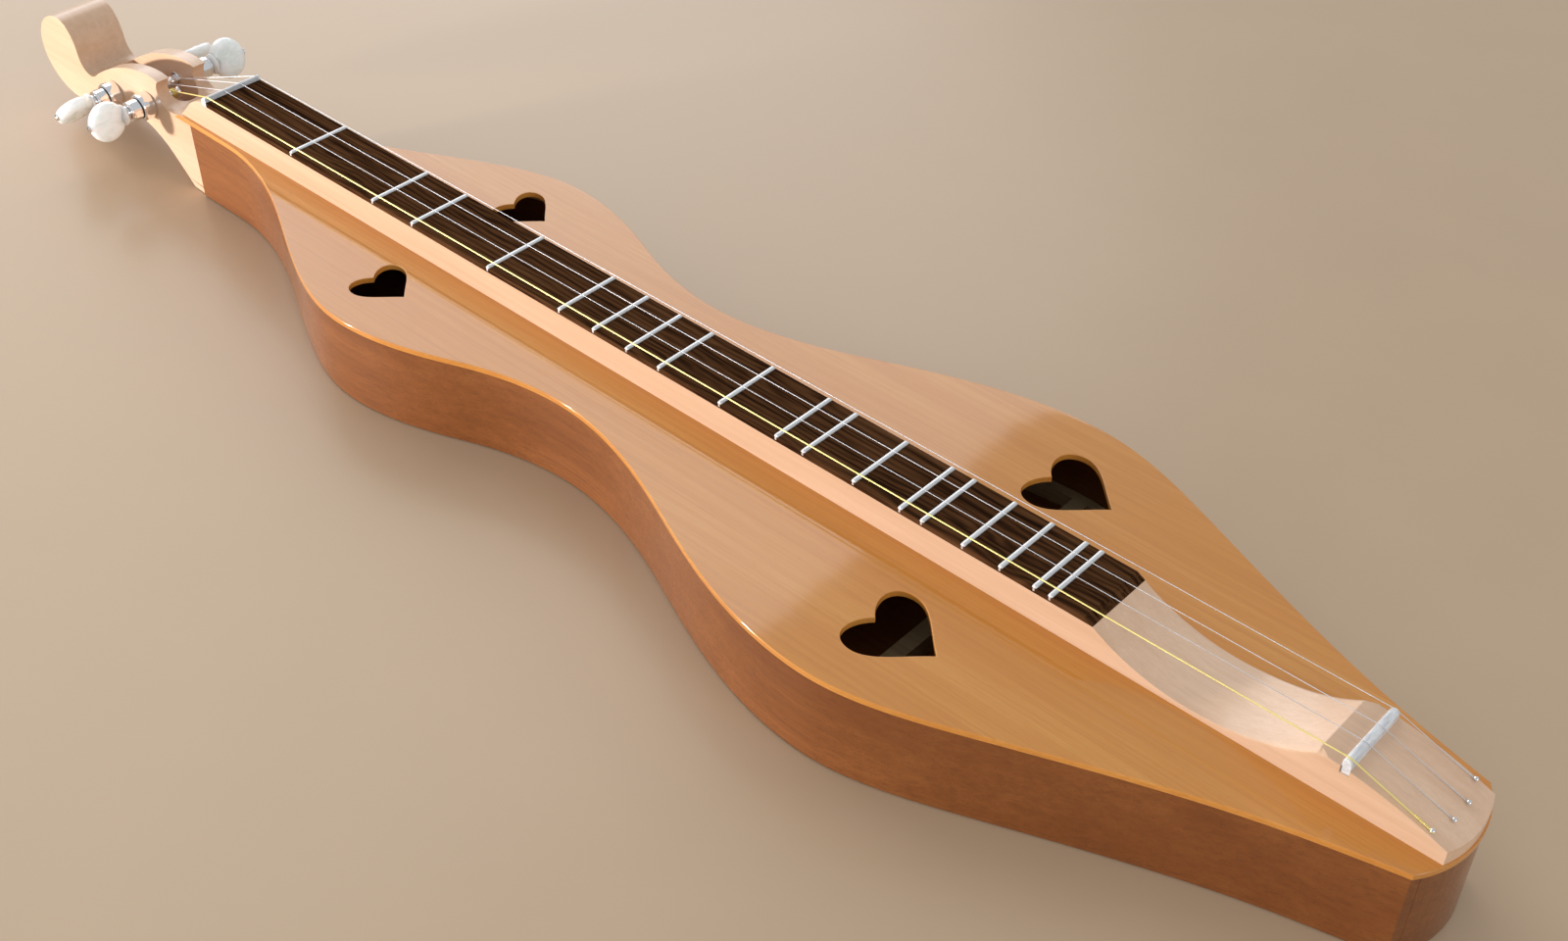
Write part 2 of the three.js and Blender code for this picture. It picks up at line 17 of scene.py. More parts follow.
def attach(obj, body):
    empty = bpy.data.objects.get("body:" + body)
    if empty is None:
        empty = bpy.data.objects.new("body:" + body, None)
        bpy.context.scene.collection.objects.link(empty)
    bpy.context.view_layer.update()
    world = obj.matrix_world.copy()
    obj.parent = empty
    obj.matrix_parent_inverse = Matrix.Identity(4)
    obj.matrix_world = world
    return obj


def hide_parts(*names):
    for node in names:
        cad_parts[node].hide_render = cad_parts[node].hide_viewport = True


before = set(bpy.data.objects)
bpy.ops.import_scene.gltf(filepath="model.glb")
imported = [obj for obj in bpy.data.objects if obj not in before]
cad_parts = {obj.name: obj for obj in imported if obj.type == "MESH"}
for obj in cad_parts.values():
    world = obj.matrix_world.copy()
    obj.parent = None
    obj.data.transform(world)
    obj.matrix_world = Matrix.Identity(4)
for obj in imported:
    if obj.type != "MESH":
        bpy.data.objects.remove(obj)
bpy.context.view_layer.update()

# ---- Dimensions, the same as the CAD's ---------------------------------------------------

MM = 0.001
SCALE_LENGTH = 711
HEAD_REACH = 183.2
TAIL_REACH = 759
NUT_X = (HEAD_REACH - TAIL_REACH) / 2
FRET_SEMITONES = [2, 4, 5, 7, 9, 10, 11, 12, 14, 16, 17, 19, 21, 22, 24, 26, 28, 29]

# Distance from the nut, half width of the soundboard, slope of its edge.
OUTLINE = [
    (-60, 20.4, 0),
    (18, 20.7, 0.02),
    (95, 43.5, 0.5),
    (195, 80.8, 0),
    (262, 65, -0.41),
    (325, 51.3, 0),
    (415, 75.6, 0.44),
    (518, 102.8, 0),
    (600, 79.8, -0.41),
    (690, 45.4, -0.32),
    (748, 29.8, -0.24),
    (800, 18.5, -0.2),
]
EDGE_POINTS = 190
TAIL_POINTS = 24
TAIL_RADIUS = 49
TAIL_CENTRE = TAIL_REACH - TAIL_RADIUS
TAIL_SEARCH = (700.0, 790.0)
TAIL_SEARCH_STEPS = 40
BODY_DEPTH = 50
PLATE = 3
SIDE_THICKNESS = 2.5
OVERHANG = 0.8
SIDE_START = -20

# Heart holes: tip, distance from the middle, length from the tip to the lobes' far end.
HEARTS = [(204.2, 46.9, 28.3), (555, 60.4, 37.9)]

# Half of a heart's edge from its notch to its tip, in shares of its length: how far back
# from the tip, and how far out from the middle line.
HEART_NOTCH = (0.845, 0)
HEART_CURVES = [
    ((0.929, 0.084), (1, 0.198), (1, 0.317)),
    ((1, 0.462), (0.884, 0.546), (0.739, 0.546)),
    ((0.488, 0.546), (0.29, 0.251), (0, 0)),
]

BOARD_HALF = 18.35
RISER_TOP = 65.2
OVERLAY_TOP = 67.8
NUT_THICKNESS = 4
NOSE_TOP = 67
HOLLOW_CENTRE = 646
HOLLOW_RADIUS = 92
HOLLOW_FLOOR = 52.3
CREST_X = 692
CREST_Z = 69.2
PLATFORM_CURVE = 165
LIP_START = 655
LIP_END = 698
LIP_CHAMFER = 3.4
EDGE_ROUND = 0.45

CROWN_WIDTH = 2.4
CROWN_HEIGHT = 1.0
TANG_WIDTH = 0.9
TANG_PROUD = 0.15
TANG_DEPTH = 1.6
SADDLE_THICKNESS = 4
SADDLE_HALF = 17.8
SADDLE_TOP = 72.3
NUT_TOP = 70.6
STRING_NUT_Z = 70.05
GROOVE_ROOM = 0.12
GROOVE_WALL = 0.01
PIN_INSET = 8.7
PIN_SHANK = 0.55

HEAD_HALF = 16
HEAD_FLARE = -58
HEAD_BLOCK_END = 36
SLOT_HALF = 8.5
SLOT_START = -122
SLOT_END = -47

# Tuners: x, z, cheek (-1 bass, +1 treble), degrees its button has turned about the peg's
# own outward axis.
TUNERS = [
    (-68, 40.3, -1, 0),
    (-105, 33.3, -1, 43),
    (-76, 43.3, 1, 20),
    (-113, 32.8, 1, -60),
]
POST_BORE = 3.3
SHAFT_BORE = 3.9
BORE_STEP = 20
BUSHING_START = 8.1
BUSHING_RADIUS = 4.8
CHEEK_FACE = 16
BARREL_RADIUS = 8
BARREL_END = 23.5
SMALL_RADIUS = 6.2
SMALL_END = 30.2
RING_WIDTH = 0.42
POST_RADIUS = 3
POST_WAIST = 2.5
POST_REACH = 4.5
BUTTON_CENTRE = 44.2
BUTTON_RADIUS = 12.1
BUTTON_REACH = 11.2
BUTTON_HALF = 4
SHOULDER_RADIUS = 6.4
SCREW_RADIUS = 1.4

# Strings: name, distance from the middle, radius, tuner.
STRINGS = [
    ("string_bass", -16.5, 0.33, 0),
    ("string_tenor", -5.5, 0.17, 1),
    ("string_middle", 5.5, 0.17, 3),
    ("string_treble", 16.5, 0.17, 2),
]


def place(x, y, z):
    return Vector(((x + NUT_X) * MM, y * MM, z * MM))


def smoothstep(low, high, value):
    t = min(max((value - low) / (high - low), 0), 1)
    return t * t * (3 - 2 * t)


def bezier(start, first, second, end, steps):
    """Points along a cubic curve in a plane, without its start."""
    points = []
    for i in range(1, steps + 1):
        t = i / steps
        s = 1 - t
        weights = (s ** 3, 3 * s * s * t, 3 * s * t * t, t ** 3)
        corners = (start, first, second, end)
        points.append(tuple(sum(w * c[k] for w, c in zip(weights, corners)) for k in (0, 1)))
    return points


# ---- Mesh helpers ------------------------------------------------------------------------


def new_piece(name, vertices, faces):
    mesh = bpy.data.meshes.new(name)
    mesh.from_pydata([tuple(v) for v in vertices], [], faces)
    mesh.validate()
    mesh.update()
    piece = bpy.data.objects.new(name, mesh)
    bpy.context.scene.collection.objects.link(piece)
    return piece


def finish_piece(piece, material, body, slot, *nodes):
    piece.data.materials.clear()
    piece.data.materials.append(material)
    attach(piece, body)
    if nodes:
        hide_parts(*nodes)
    return piece


class Builder:
    """Gathers vertices and faces for one mesh."""

    def __init__(self):
        self.vertices = []
        self.faces = []

    def loops(self, loops):
        """Joins closed loops of equal length with quads. Returns both end loops' indices."""
        count = len(loops[0])
        start = len(self.vertices)
        for loop in loops:
            self.vertices.extend(loop)
        rows = [range(start + k * count, start + (k + 1) * count) for k in range(len(loops))]
        for low, high in zip(rows, rows[1:]):
            for i in range(count):
                j = (i + 1) % count
                self.faces.append((low[i], low[j], high[j], high[i]))
        return list(rows[0]), list(rows[-1])

    def solid(self, loops):
        """Joins loops and closes both ends."""
        first, last = self.loops(loops)
        self.polygon(first)
        self.polygon(last, flip=True)

    def cap(self, rings, flip=False):
        """Closes a flat outline, with any holes after it, by triangles."""
        order = [index for ring in rings for index in ring]
        outline = [[self.vertices[index] for index in ring] for ring in rings]
        for triangle in tessellate_polygon(outline):
            corners = [order[k] for k in triangle]
            self.faces.append(tuple(reversed(corners)) if flip else tuple(corners))

    def polygon(self, ring, flip=False):
        self.faces.append(tuple(reversed(ring)) if flip else tuple(ring))

    def tube(self, points, radius, sides):
        """A round tube along points, closed at both ends."""
        rings = []
        reference = Vector((0, 0, 1))
        for i, point in enumerate(points):
            ahead = points[min(i + 1, len(points) - 1)]
            behind = points[max(i - 1, 0)]
            direction = (ahead - behind).normalized()
            if abs(direction.dot(reference)) > 0.97:
                reference = Vector((0, 1, 0))
            across = direction.cross(reference).normalized()
            upward = across.cross(direction).normalized()
            reference = upward
            rings.append([
                point + (across * math.cos(a) + upward * math.sin(a)) * radius
                for a in (2 * math.pi * k / sides for k in range(sides))
            ])
        self.solid(rings)

    def build(self, name, sharp_angle=35):
        piece = new_piece(name, self.vertices, self.faces)
        turn_outwards(piece)
        shade(piece, sharp_angle)
        return piece


def turn_outwards(piece):
    """Merges doubled points and turns every face outwards."""
    work = bmesh.new()
    work.from_mesh(piece.data)
    bmesh.ops.remove_doubles(work, verts=work.verts, dist=1e-7)
    bmesh.ops.recalc_face_normals(work, faces=work.faces)
    work.to_mesh(piece.data)
    work.free()


def apply_modifiers(piece):
    bpy.context.view_layer.update()
    graph = bpy.context.evaluated_depsgraph_get()
    shaped = bpy.data.meshes.new_from_object(piece.evaluated_get(graph))
    piece.modifiers.clear()
    piece.data = shaped


def shade(piece, sharp_angle):
    """Smooth shading with sharp edges, in which large faces decide the normals."""
    piece.data.shade_smooth()
    piece.data.set_sharp_from_angle(angle=math.radians(sharp_angle))
    weigh = piece.modifiers.new("weigh", "WEIGHTED_NORMAL")
    weigh.keep_sharp = True
    weigh.weight = 100
    apply_modifiers(piece)


def cut_away(piece, cutter):
    """Takes the cutter's space out of a piece, and drops the cutter."""
    cut = piece.modifiers.new("cut", "BOOLEAN")
    cut.operation = "DIFFERENCE"
    cut.solver = "EXACT"
    cut.object = cutter
    apply_modifiers(piece)
    bpy.data.objects.remove(cutter)


def lathe(profile, centre, segments, name, sharp_angle, axis):
    """A solid of revolution about an axis. profile is (radius, distance along it) in mm.

    A profile that ends where it starts makes a ring; any other is closed at its ends.
    """
    across = Vector((1, 0, 0))
    upward = Vector((0, abs(axis.z), abs(axis.y)))
    builder = Builder()
    rings = []
    for radius, along in profile:
        ring = []
        for k in range(segments):
            angle = 2 * math.pi * k / segments
            spoke = across * math.cos(angle) + upward * math.sin(angle)
            ring.append(centre + (spoke * radius + axis * along) * MM)
        rings.append(ring)
    first, last = builder.loops(rings)
    if profile[0] != profile[-1]:
        builder.polygon(first)
        builder.polygon(last, flip=True)
    return builder.build(name, sharp_angle)


# ---- Materials ---------------------------------------------------------------------------


class Shader:
    """A Principled material whose constant values sit on the shader's own sockets."""

    def __init__(self, name, values):
        self.material = bpy.data.materials.new(name)
        self.material.use_nodes = True
        self.nodes = self.material.node_tree.nodes
        self.links = self.material.node_tree.links
        self.surface = self.nodes["Principled BSDF"]
        for socket, value in values.items():
            self.surface.inputs[socket].default_value = value
        self.coordinates = self.node("ShaderNodeTexCoord").outputs["Object"]

    def node(self, kind, inputs=None, **settings):
        made = self.nodes.new(kind)
        for key, value in settings.items():
            setattr(made, key, value)
        for key, value in (inputs or {}).items():
            if isinstance(value, bpy.types.NodeSocket):
                self.links.new(value, made.inputs[key])
            else:
                made.inputs[key].default_value = value
        return made

    def stretched(self, x, y, z, shift=0.0):
        """The object's own metres, scaled along each axis."""
        inputs = {"Vector": self.coordinates, "Scale": (x, y, z), "Location": (shift, shift, shift)}
        return self.node("ShaderNodeMapping", inputs).outputs["Vector"]

    def noise(self, vector, detail=3.0, roughness=0.55, distortion=0.0):
        inputs = {
            "Vector": vector,
            "Scale": 1.0,
            "Detail": detail,
            "Roughness": roughness,
            "Distortion": distortion,
        }
        return self.node("ShaderNodeTexNoise", inputs).outputs["Fac"]

    def ramp(self, value, stops):
        made = self.node("ShaderNodeValToRGB", {"Fac": value})
        elements = made.color_ramp.elements
        while len(elements) < len(stops):
            elements.new(0.5)
        for element, (position, color) in zip(elements, stops):
            element.position = position
            element.color = (*color, 1)
        return made.outputs["Color"]

    def ranged(self, value, low, high, to_low, to_high):
        inputs = {"Value": value, "From Min": low, "From Max": high, "To Min": to_low, "To Max": to_high}
        return self.node("ShaderNodeMapRange", inputs).outputs["Result"]

    def mix(self, factor, first, second):
        made = self.node("ShaderNodeMix", data_type="RGBA")
        for socket, value in ((0, factor), (6, first), (7, second)):
            if isinstance(value, bpy.types.NodeSocket):
                self.links.new(value, made.inputs[socket])
            else:
                made.inputs[socket].default_value = value
        return made.outputs[2]

    def combine(self, first, second, operation="ADD"):
        """One sum, product, difference or sine of values that vary over the surface."""
        made = self.node("ShaderNodeMath", operation=operation)
        for socket, value in enumerate((first, second)):
            if isinstance(value, bpy.types.NodeSocket):
                self.links.new(value, made.inputs[socket])
            else:
                made.inputs[socket].default_value = value
        return made.outputs[0]

    def weighted(self, first, first_share, second, second_share):
        scaled = self.combine(first, first_share, "MULTIPLY")
        return self.combine(scaled, self.combine(second, second_share, "MULTIPLY"))

    def bump(self, height, distance, strength):
        inputs = {"Height": height, "Distance": distance, "Strength": strength}
        normal = self.node("ShaderNodeBump", inputs).outputs["Normal"]
        self.links.new(normal, self.surface.inputs["Normal"])

    def drive(self, socket, value):
        self.links.new(value, self.surface.inputs[socket])

    def finish(self, colour, gloss, smooth, rough, height, distance, strength):
        """Colour, a roughness that follows gloss, and a bump. Returns the material."""
        self.drive("Base Color", colour)
        self.drive("Roughness", self.ranged(gloss, 0.3, 0.7, smooth, rough))
        self.bump(height, distance, strength)
        return self.material


def varnish(weight, rough=0.03):
    """Sockets of a clear coat over a surface that has little shine of its own."""
    return {"Coat Weight": weight, "Coat Roughness": rough, "Coat IOR": 1.5, "Specular IOR Level": 0.2}


def wood(name, deep, middle, light, pore, coat, band=45.0, pores=0.35, shift=0.0, lines=0.25):
    """Wood with its grain along X: broad bands, narrow streaks, fine fibres and dark pores."""
    shader = Shader(name, coat)
    broad = shader.noise(shader.stretched(3, band, band, shift), 3.0, 0.5, 0.6)
    narrow = shader.noise(shader.stretched(9, band * 9, band * 9, shift), 3.0, 0.6, 0.3)
    fibre = shader.noise(shader.stretched(60, 1500, 1500, shift), 3.0, 0.6, 0.2)
    flecks = shader.noise(shader.stretched(240, 2600, 2600, shift), 2.0, 0.5)
    figure = shader.weighted(broad, 0.6, narrow, 0.4)
    colour = shader.ramp(figure, [(0.32, deep), (0.5, middle), (0.68, light)])
    year = shader.noise(shader.stretched(7, 620, 620, shift), 2.0, 0.5, 0.4)
    ringed = shader.mix(shader.ranged(year, 0.5, 0.66, 0.0, lines), colour, (*pore, 1))
    streaked = shader.mix(shader.ranged(fibre, 0.35, 0.7, 0.0, 0.35), ringed, (*deep, 1))
    dashes = shader.ranged(flecks, 0.60, 0.72, 0.0, pores)
    pored = shader.mix(dashes, streaked, (*pore, 1))
    relief = shader.combine(fibre, dashes, "SUBTRACT")
    return shader.finish(pored, fibre, 0.36, 0.52, relief, 0.00003, 0.4)


def rosewood():
    """Oiled dark board: nearly black wavy streaks in brown."""
    shader = Shader("dark_rosewood", {"Specular IOR Level": 0.0})
    drift = shader.noise(shader.stretched(7, 40, 40), 3.0, 0.5, 1.2)
    across = shader.node("ShaderNodeSeparateXYZ", {"Vector": shader.coordinates}).outputs["Y"]
    lines = shader.weighted(across, 1900.0, drift, 30.0)
    wave = shader.ranged(shader.combine(lines, 0.0, "SINE"), -1.0, 1.0, 0.0, 1.0)
    patchy = shader.noise(shader.stretched(14, 260, 260), 3.0, 0.6, 0.5)
    fibre = shader.noise(shader.stretched(40, 2200, 2200), 4.0, 0.6)
    blend = shader.weighted(wave, 0.15, patchy, 0.6)
    blend = shader.combine(blend, shader.combine(fibre, 0.42, "MULTIPLY"))
    stops = [
        (0.38, (0.010, 0.005, 0.003)),
        (0.50, (0.034, 0.014, 0.006)),
        (0.62, (0.075, 0.032, 0.013)),
        (0.80, (0.115, 0.053, 0.023)),
    ]
    return shader.finish(shader.ramp(blend, stops), fibre, 0.42, 0.6, fibre, 0.00005, 0.5)


def metal(name, colour, rough, scratch=(900, 60, 900), depth=0.000002):
    """Polished metal with fine directional scratches and a little haze."""
    shader = Shader(name, {"Metallic": 1.0})
    lines = shader.noise(shader.stretched(*scratch), 3.0, 0.6)
    haze = shader.noise(shader.stretched(90, 90, 90), 3.0, 0.5)
    dull = tuple(channel * 0.86 for channel in colour)
    shader.drive("Base Color", shader.mix(haze, (*dull, 1), (*colour, 1)))
    shader.drive("Roughness", shader.ranged(shader.combine(lines, haze), 0.7, 1.3, rough, rough * 1.7))
    shader.bump(lines, depth, 0.4)
    return shader.material


def wound_bronze():
    """The bass string's fine wrap: ridges a third of a millimetre apart along X, with painted shade in
    the grooves between them.
    """
    shader = Shader("wound_bronze", {"Metallic": 1.0})
    along = shader.node("ShaderNodeSeparateXYZ", {"Vector": shader.coordinates}).outputs["X"]
    phase = shader.combine(along, 2 * math.pi / 0.00035, "MULTIPLY")
    ridge = shader.ranged(shader.combine(phase, 0.0, "SINE"), -1.0, 1.0, 0.0, 1.0)
    # Painted shade: the colour is darker in the grooves between the turns and paler on their crests.
    colour = shader.ramp(ridge, [(0.0, (0.86, 0.68, 0.20)), (1.0, (1.0, 0.95, 0.46))])
    shader.drive("Base Color", colour)
    shader.drive("Roughness", shader.ranged(ridge, 0.0, 1.0, 0.55, 0.42))
    shader.bump(ridge, 0.00004, 0.4)
    return shader.material


def pearloid():
    """Swirled pearly plastic, faintly green."""
    glow = {
        "Subsurface Weight": 0.9,
        "Subsurface Radius": (0.009, 0.010, 0.010),
        "Subsurface Scale": 1.0,
    }
    shader = Shader("pearloid", {**varnish(1.0, 0.05), **glow})
    swirl = shader.noise(shader.stretched(60, 60, 60), 2.0, 0.5, 2.0)
    streak = shader.noise(shader.stretched(150, 90, 320), 3.0, 0.55, 2.5)
    mixed = shader.weighted(swirl, 0.5, streak, 0.5)
    stops = [
        (0.34, (0.76, 0.82, 0.80)),
        (0.47, (0.85, 0.91, 0.89)),
        (0.56, (0.92, 0.97, 0.96)),
        (0.68, (0.98, 1.00, 1.00)),
    ]
    return shader.finish(shader.ramp(mixed, stops), swirl, 0.2, 0.36, streak, 0.00002, 0.3)


def bone():
    """Bone-white bar stock with faint grey streaks."""
    shader = Shader("bone_white", {"Specular IOR Level": 0.4})
    streak = shader.noise(shader.stretched(700, 130, 700), 4.0, 0.65, 0.6)
    spots = shader.noise(shader.stretched(1500, 1500, 1500), 2.0, 0.5)
    stops = [(0.3, (0.48, 0.49, 0.51)), (0.52, (0.66, 0.67, 0.69)), (0.72, (0.82, 0.82, 0.83))]
    return shader.finish(shader.ramp(streak, stops), spots, 0.32, 0.5, spots, 0.00003, 0.4)


def groove_shade_ring():
    """A black ring in the groove between a tuner's two barrels: painted shade in that groove."""
    shader = Shader("tuner_ring", {"Specular IOR Level": 0.4})
    grain = shader.noise(shader.stretched(2500, 2500, 2500), 2.0, 0.5)
    stops = [(0.3, (0.012, 0.012, 0.012)), (0.8, (0.05, 0.05, 0.05))]
    return shader.finish(shader.ramp(grain, stops), grain, 0.45, 0.65, grain, 0.00002, 0.5)


def pale_floor():
    """Plain warm beige with a soft sheen."""
    shader = Shader("pale_floor", varnish(0.5, 0.25))
    grain = shader.noise(shader.stretched(14, 14, 14), 3.0, 0.5)
    stops = [(0.3, (0.50, 0.362, 0.238)), (0.7, (0.515, 0.374, 0.247))]
    shader.drive("Base Color", shader.ramp(grain, stops))
    shader.drive("Roughness", shader.ranged(grain, 0.3, 0.7, 0.45, 0.5))
    return shader.material


TOP_WOOD = wood("top_wood", (0.53, 0.20, 0.030), (0.59, 0.242, 0.042), (0.65, 0.30, 0.068),
                (0.41, 0.15, 0.022), varnish(1.0, 0.06), band=38.0, pores=0.3, lines=0.25)
SIDE_WOOD = wood("side_wood", (0.16, 0.045, 0.009), (0.205, 0.064, 0.013), (0.26, 0.088, 0.021),
                 (0.08, 0.021, 0.008), varnish(0.7, 0.06), band=26.0, pores=0.6, shift=3.1)
MAPLE = wood("pale_maple", (0.61, 0.39, 0.25), (0.695, 0.465, 0.312), (0.775, 0.54, 0.38),
             (0.51, 0.295, 0.17), varnish(0.9, 0.22), band=24.0, pores=0.2, shift=7.7, lines=0.12)
INNER_WOOD = wood("inner_softwood", (0.42, 0.28, 0.14), (0.55, 0.40, 0.22), (0.64, 0.49, 0.30),
                  (0.35, 0.22, 0.11), varnish(0.0), band=90.0, pores=0.2, shift=1.3)
ROSEWOOD = rosewood()
BONE = bone()
FRET_METAL = metal("fret_wire", (0.80, 0.81, 0.82), 0.42)
PIN_METAL = metal("pin_steel", (0.84, 0.84, 0.85), 0.15)
STRING_METAL = metal("plain_string_steel", (0.80, 0.80, 0.83), 0.4)
CHROME = metal("peg_chrome", (0.93, 0.93, 0.95), 0.04, scratch=(300, 900, 300))
BRONZE = wound_bronze()
PEARLOID = pearloid()
RING = groove_shade_ring()

# ---- Body outline ------------------------------------------------------------------------


def edge_at(x):
    """Half width and slope of the soundboard's edge at x."""
    index = next((i for i in range(len(OUTLINE) - 1) if OUTLINE[i + 1][0] > x), len(OUTLINE) - 2)
    (ax, ah, aslope), (bx, bh, bslope) = OUTLINE[index], OUTLINE[index + 1]
    span = bx - ax
    t = (x - ax) / span
    half = (2 * t ** 3 - 3 * t ** 2 + 1) * ah + (t ** 3 - 2 * t ** 2 + t) * span * aslope
    half += (3 * t ** 2 - 2 * t ** 3) * bh + (t ** 3 - t ** 2) * span * bslope
    slope = (6 * t ** 2 - 6 * t) * (ah - bh) / span
    slope += (3 * t ** 2 - 4 * t + 1) * aslope + (3 * t ** 2 - 2 * t) * bslope
    return half, slope


def inset_point(x, inset):
    half, slope = edge_at(x)
    stretch = math.hypot(1, slope)
    return x + inset * slope / stretch, half - inset / stretch


def tail_corner(inset, radius):
    """Where the inset edge meets the round tail."""
    low, high = TAIL_SEARCH
    for _ in range(TAIL_SEARCH_STEPS):
        middle = (low + high) / 2
        px, py = inset_point(middle, inset)
        if math.hypot(px - TAIL_CENTRE, py) < radius:
            low = middle
        else:
            high = middle
    return low


def half_edge(inset, tail_inset, start):
    """The treble edge from start to the tail, as (x, y)."""
    corner = tail_corner(inset, TAIL_RADIUS - tail_inset)
    edge = []
    for i in range(EDGE_POINTS):
        x = start + (corner - start) * i / (EDGE_POINTS - 1)
        edge.append(inset_point(x, inset))
    edge[0] = (start, edge[0][1])
    return edge


def body_ring(inset, z, start):
    """The whole outline at height z, moved inwards by inset."""
    edge = half_edge(inset, inset, start)
    radius = TAIL_RADIUS - inset
    end_x, end_y = edge[-1]
    reach = math.atan2(end_y, end_x - TAIL_CENTRE)
    arc = []
    for i in range(1, TAIL_POINTS):
        angle = reach - 2 * reach * i / TAIL_POINTS
        arc.append((TAIL_CENTRE + radius * math.cos(angle), radius * math.sin(angle)))
    mirrored = [(x, -y) for x, y in reversed(edge)]
    return [place(x, y, z) for x, y in edge + arc + mirrored]


# ---- Cove behind the nut -----------------------------------------------------------------

COVE_LIP = (-53, 59.8)
COVE_BOTTOM = (-45.5, 44.5)
COVE_SHOULDER = (-20, 58.6)
COVE_TOP = (-NUT_THICKNESS, NOSE_TOP)


def cove_curve(steps=14):
    """From the hump's front lip, down and up to the nut, as (x, z)."""
    curve = [COVE_LIP]
    curve += bezier(COVE_LIP, (-59.5, 54), (-54.5, 44.5), COVE_BOTTOM, steps)
    curve += bezier(COVE_BOTTOM, (-34.5, 44.5), (-27.5, 50.5), COVE_SHOULDER, steps)
    curve += bezier(COVE_SHOULDER, (-15.4, 63.6), (-9.5, 65.4), COVE_TOP, steps)
    return curve


COVE = cove_curve()
COVE_RISE = [point for point in COVE if point[0] >= COVE_BOTTOM[0]]


def cove_x(z):
    """Where the rising side of the cove is at height z."""
    for (ax, az), (bx, bz) in zip(COVE_RISE, COVE_RISE[1:]):
        if az <= z <= bz:
            return ax + (bx - ax) * (z - az) / (bz - az)
    return COVE_RISE[0][0]


# ---- Soundboard, back and sides ----------------------------------------------------------


def heart_outline(tip, y, length, grow):
    """A heart whose tip points to the tail, its edge moved outwards by grow."""
    half = [HEART_NOTCH]
    for first, second, end in HEART_CURVES:
        half += bezier(half[-1], first, second, end, 14)
    points = [(tip - back * length, out * length) for back, out in half]
    moved = []
    for i, (px, py) in enumerate(points):
        ax, ay = points[max(i - 1, 0)]
        bx, by = points[min(i + 1, len(points) - 1)]
        stretch = math.hypot(bx - ax, by - ay)
        moved.append((px - grow * (by - ay) / stretch, py + grow * (bx - ax) / stretch))
    moved[0] = (points[0][0] - grow * 0.75, 0)
    moved[-1] = (points[-1][0] + grow * 1.4, 0)
    mirrored = [(px, -py) for px, py in reversed(moved[1:-1])]
    return [(px, y + py) for px, py in moved + mirrored]


def make_soundboard():
    builder = Builder()
    levels = [(0.35, 47.0), (0.05, 47.25), (0, 49.3), (0.08, 49.68), (0.25, 49.9), (0.5, 50.0)]
    rings = [body_ring(inset, z, cove_x(z)) for inset, z in levels]
    low, high = builder.loops(rings)
    low_rings, high_rings = [low], [high]
    rim = [(0.2, 47.0), (0, 47.2), (0, 49.5), (0.12, 49.85), (0.4, 50.0)]
    for tip, y, length in HEARTS:
        for centre in (y, -y):
            loops = []
            for grow, z in rim:
                loops.append([place(px, py, z) for px, py in heart_outline(tip, centre, length, grow)])
            first, last = builder.loops(loops)
            low_rings.append(first)
            high_rings.append(last)
    builder.cap(low_rings, flip=True)
    builder.cap(high_rings)
    piece = builder.build("soundboard_top")
    return finish_piece(piece, TOP_WOOD, "instrument", "top_wood", "soundboard")


def make_back():
    builder = Builder()
    levels = [(1.4, 0.0), (1.0, 0.12), (0.8, 0.5), (0.8, 2.95)]
    low, high = builder.loops([body_ring(inset, z, SIDE_START) for inset, z in levels])
    builder.cap([low], flip=True)
    builder.cap([high])
    piece = builder.build("back_panel")
    return finish_piece(piece, SIDE_WOOD, "instrument", "side_wood", "back_plate")


def make_side(label, sign):
    """One bent rib, from the head block to the tail."""
    builder = Builder()
    outer = half_edge(OVERHANG, OVERHANG, SIDE_START)
    inner = half_edge(OVERHANG + SIDE_THICKNESS, OVERHANG, SIDE_START)
    profile = [(outer, 3.0), (outer, 47.0), (inner, 47.0), (inner, 3.0)]
    sections = []
    for i in range(EDGE_POINTS):
        sections.append([place(edge[i][0], sign * edge[i][1], z) for edge, z in profile])
    builder.solid(sections)
    piece = builder.build(f"rib_{label}")
    return finish_piece(piece, SIDE_WOOD, "instrument", "side_wood", f"side_{label}")


# ---- Fretboard riser, overlay and frets --------------------------------------------------


def fret_x(semitone):
    return SCALE_LENGTH * (1 - 2 ** (-semitone / 12))


def hollow_z(x):
    return HOLLOW_FLOOR + HOLLOW_RADIUS - math.sqrt(HOLLOW_RADIUS ** 2 - (x - HOLLOW_CENTRE) ** 2)


def hollow_start(z):
    return HOLLOW_CENTRE - math.sqrt(HOLLOW_RADIUS ** 2 - (HOLLOW_FLOOR + HOLLOW_RADIUS - z) ** 2)


def platform_z(x):
    return CREST_Z - (x - CREST_X) ** 2 / (2 * PLATFORM_CURVE)


def board_half(x, inset=0.0):
    """Half width of the riser, which the round tail cuts short."""
    radius = TAIL_RADIUS - OVERHANG
    if x <= TAIL_CENTRE:
        return BOARD_HALF - inset
    room = max(radius ** 2 - (x - TAIL_CENTRE) ** 2, 0)
    return max(min(BOARD_HALF, math.sqrt(room)) - inset, 0.01)


def lip_chamfer(x):
    return EDGE_ROUND + (LIP_CHAMFER - EDGE_ROUND) * smoothstep(LIP_START, LIP_END, x)


def riser_section(x, top, cut, half):
    """Across the riser at x: flat below, its top edges cut back by cut."""
    low = BODY_DEPTH
    cut = min(cut, (top - low) * 0.8, half * 0.8)
    knee = cut * 0.3
    right = [(half, low), (half, top - cut), (half - knee * 0.5, top - knee * 1.6), (half - cut, top)]
    left = [(-y, z) for y, z in reversed(right)]
    return [place(x, y, z) for y, z in right + left]


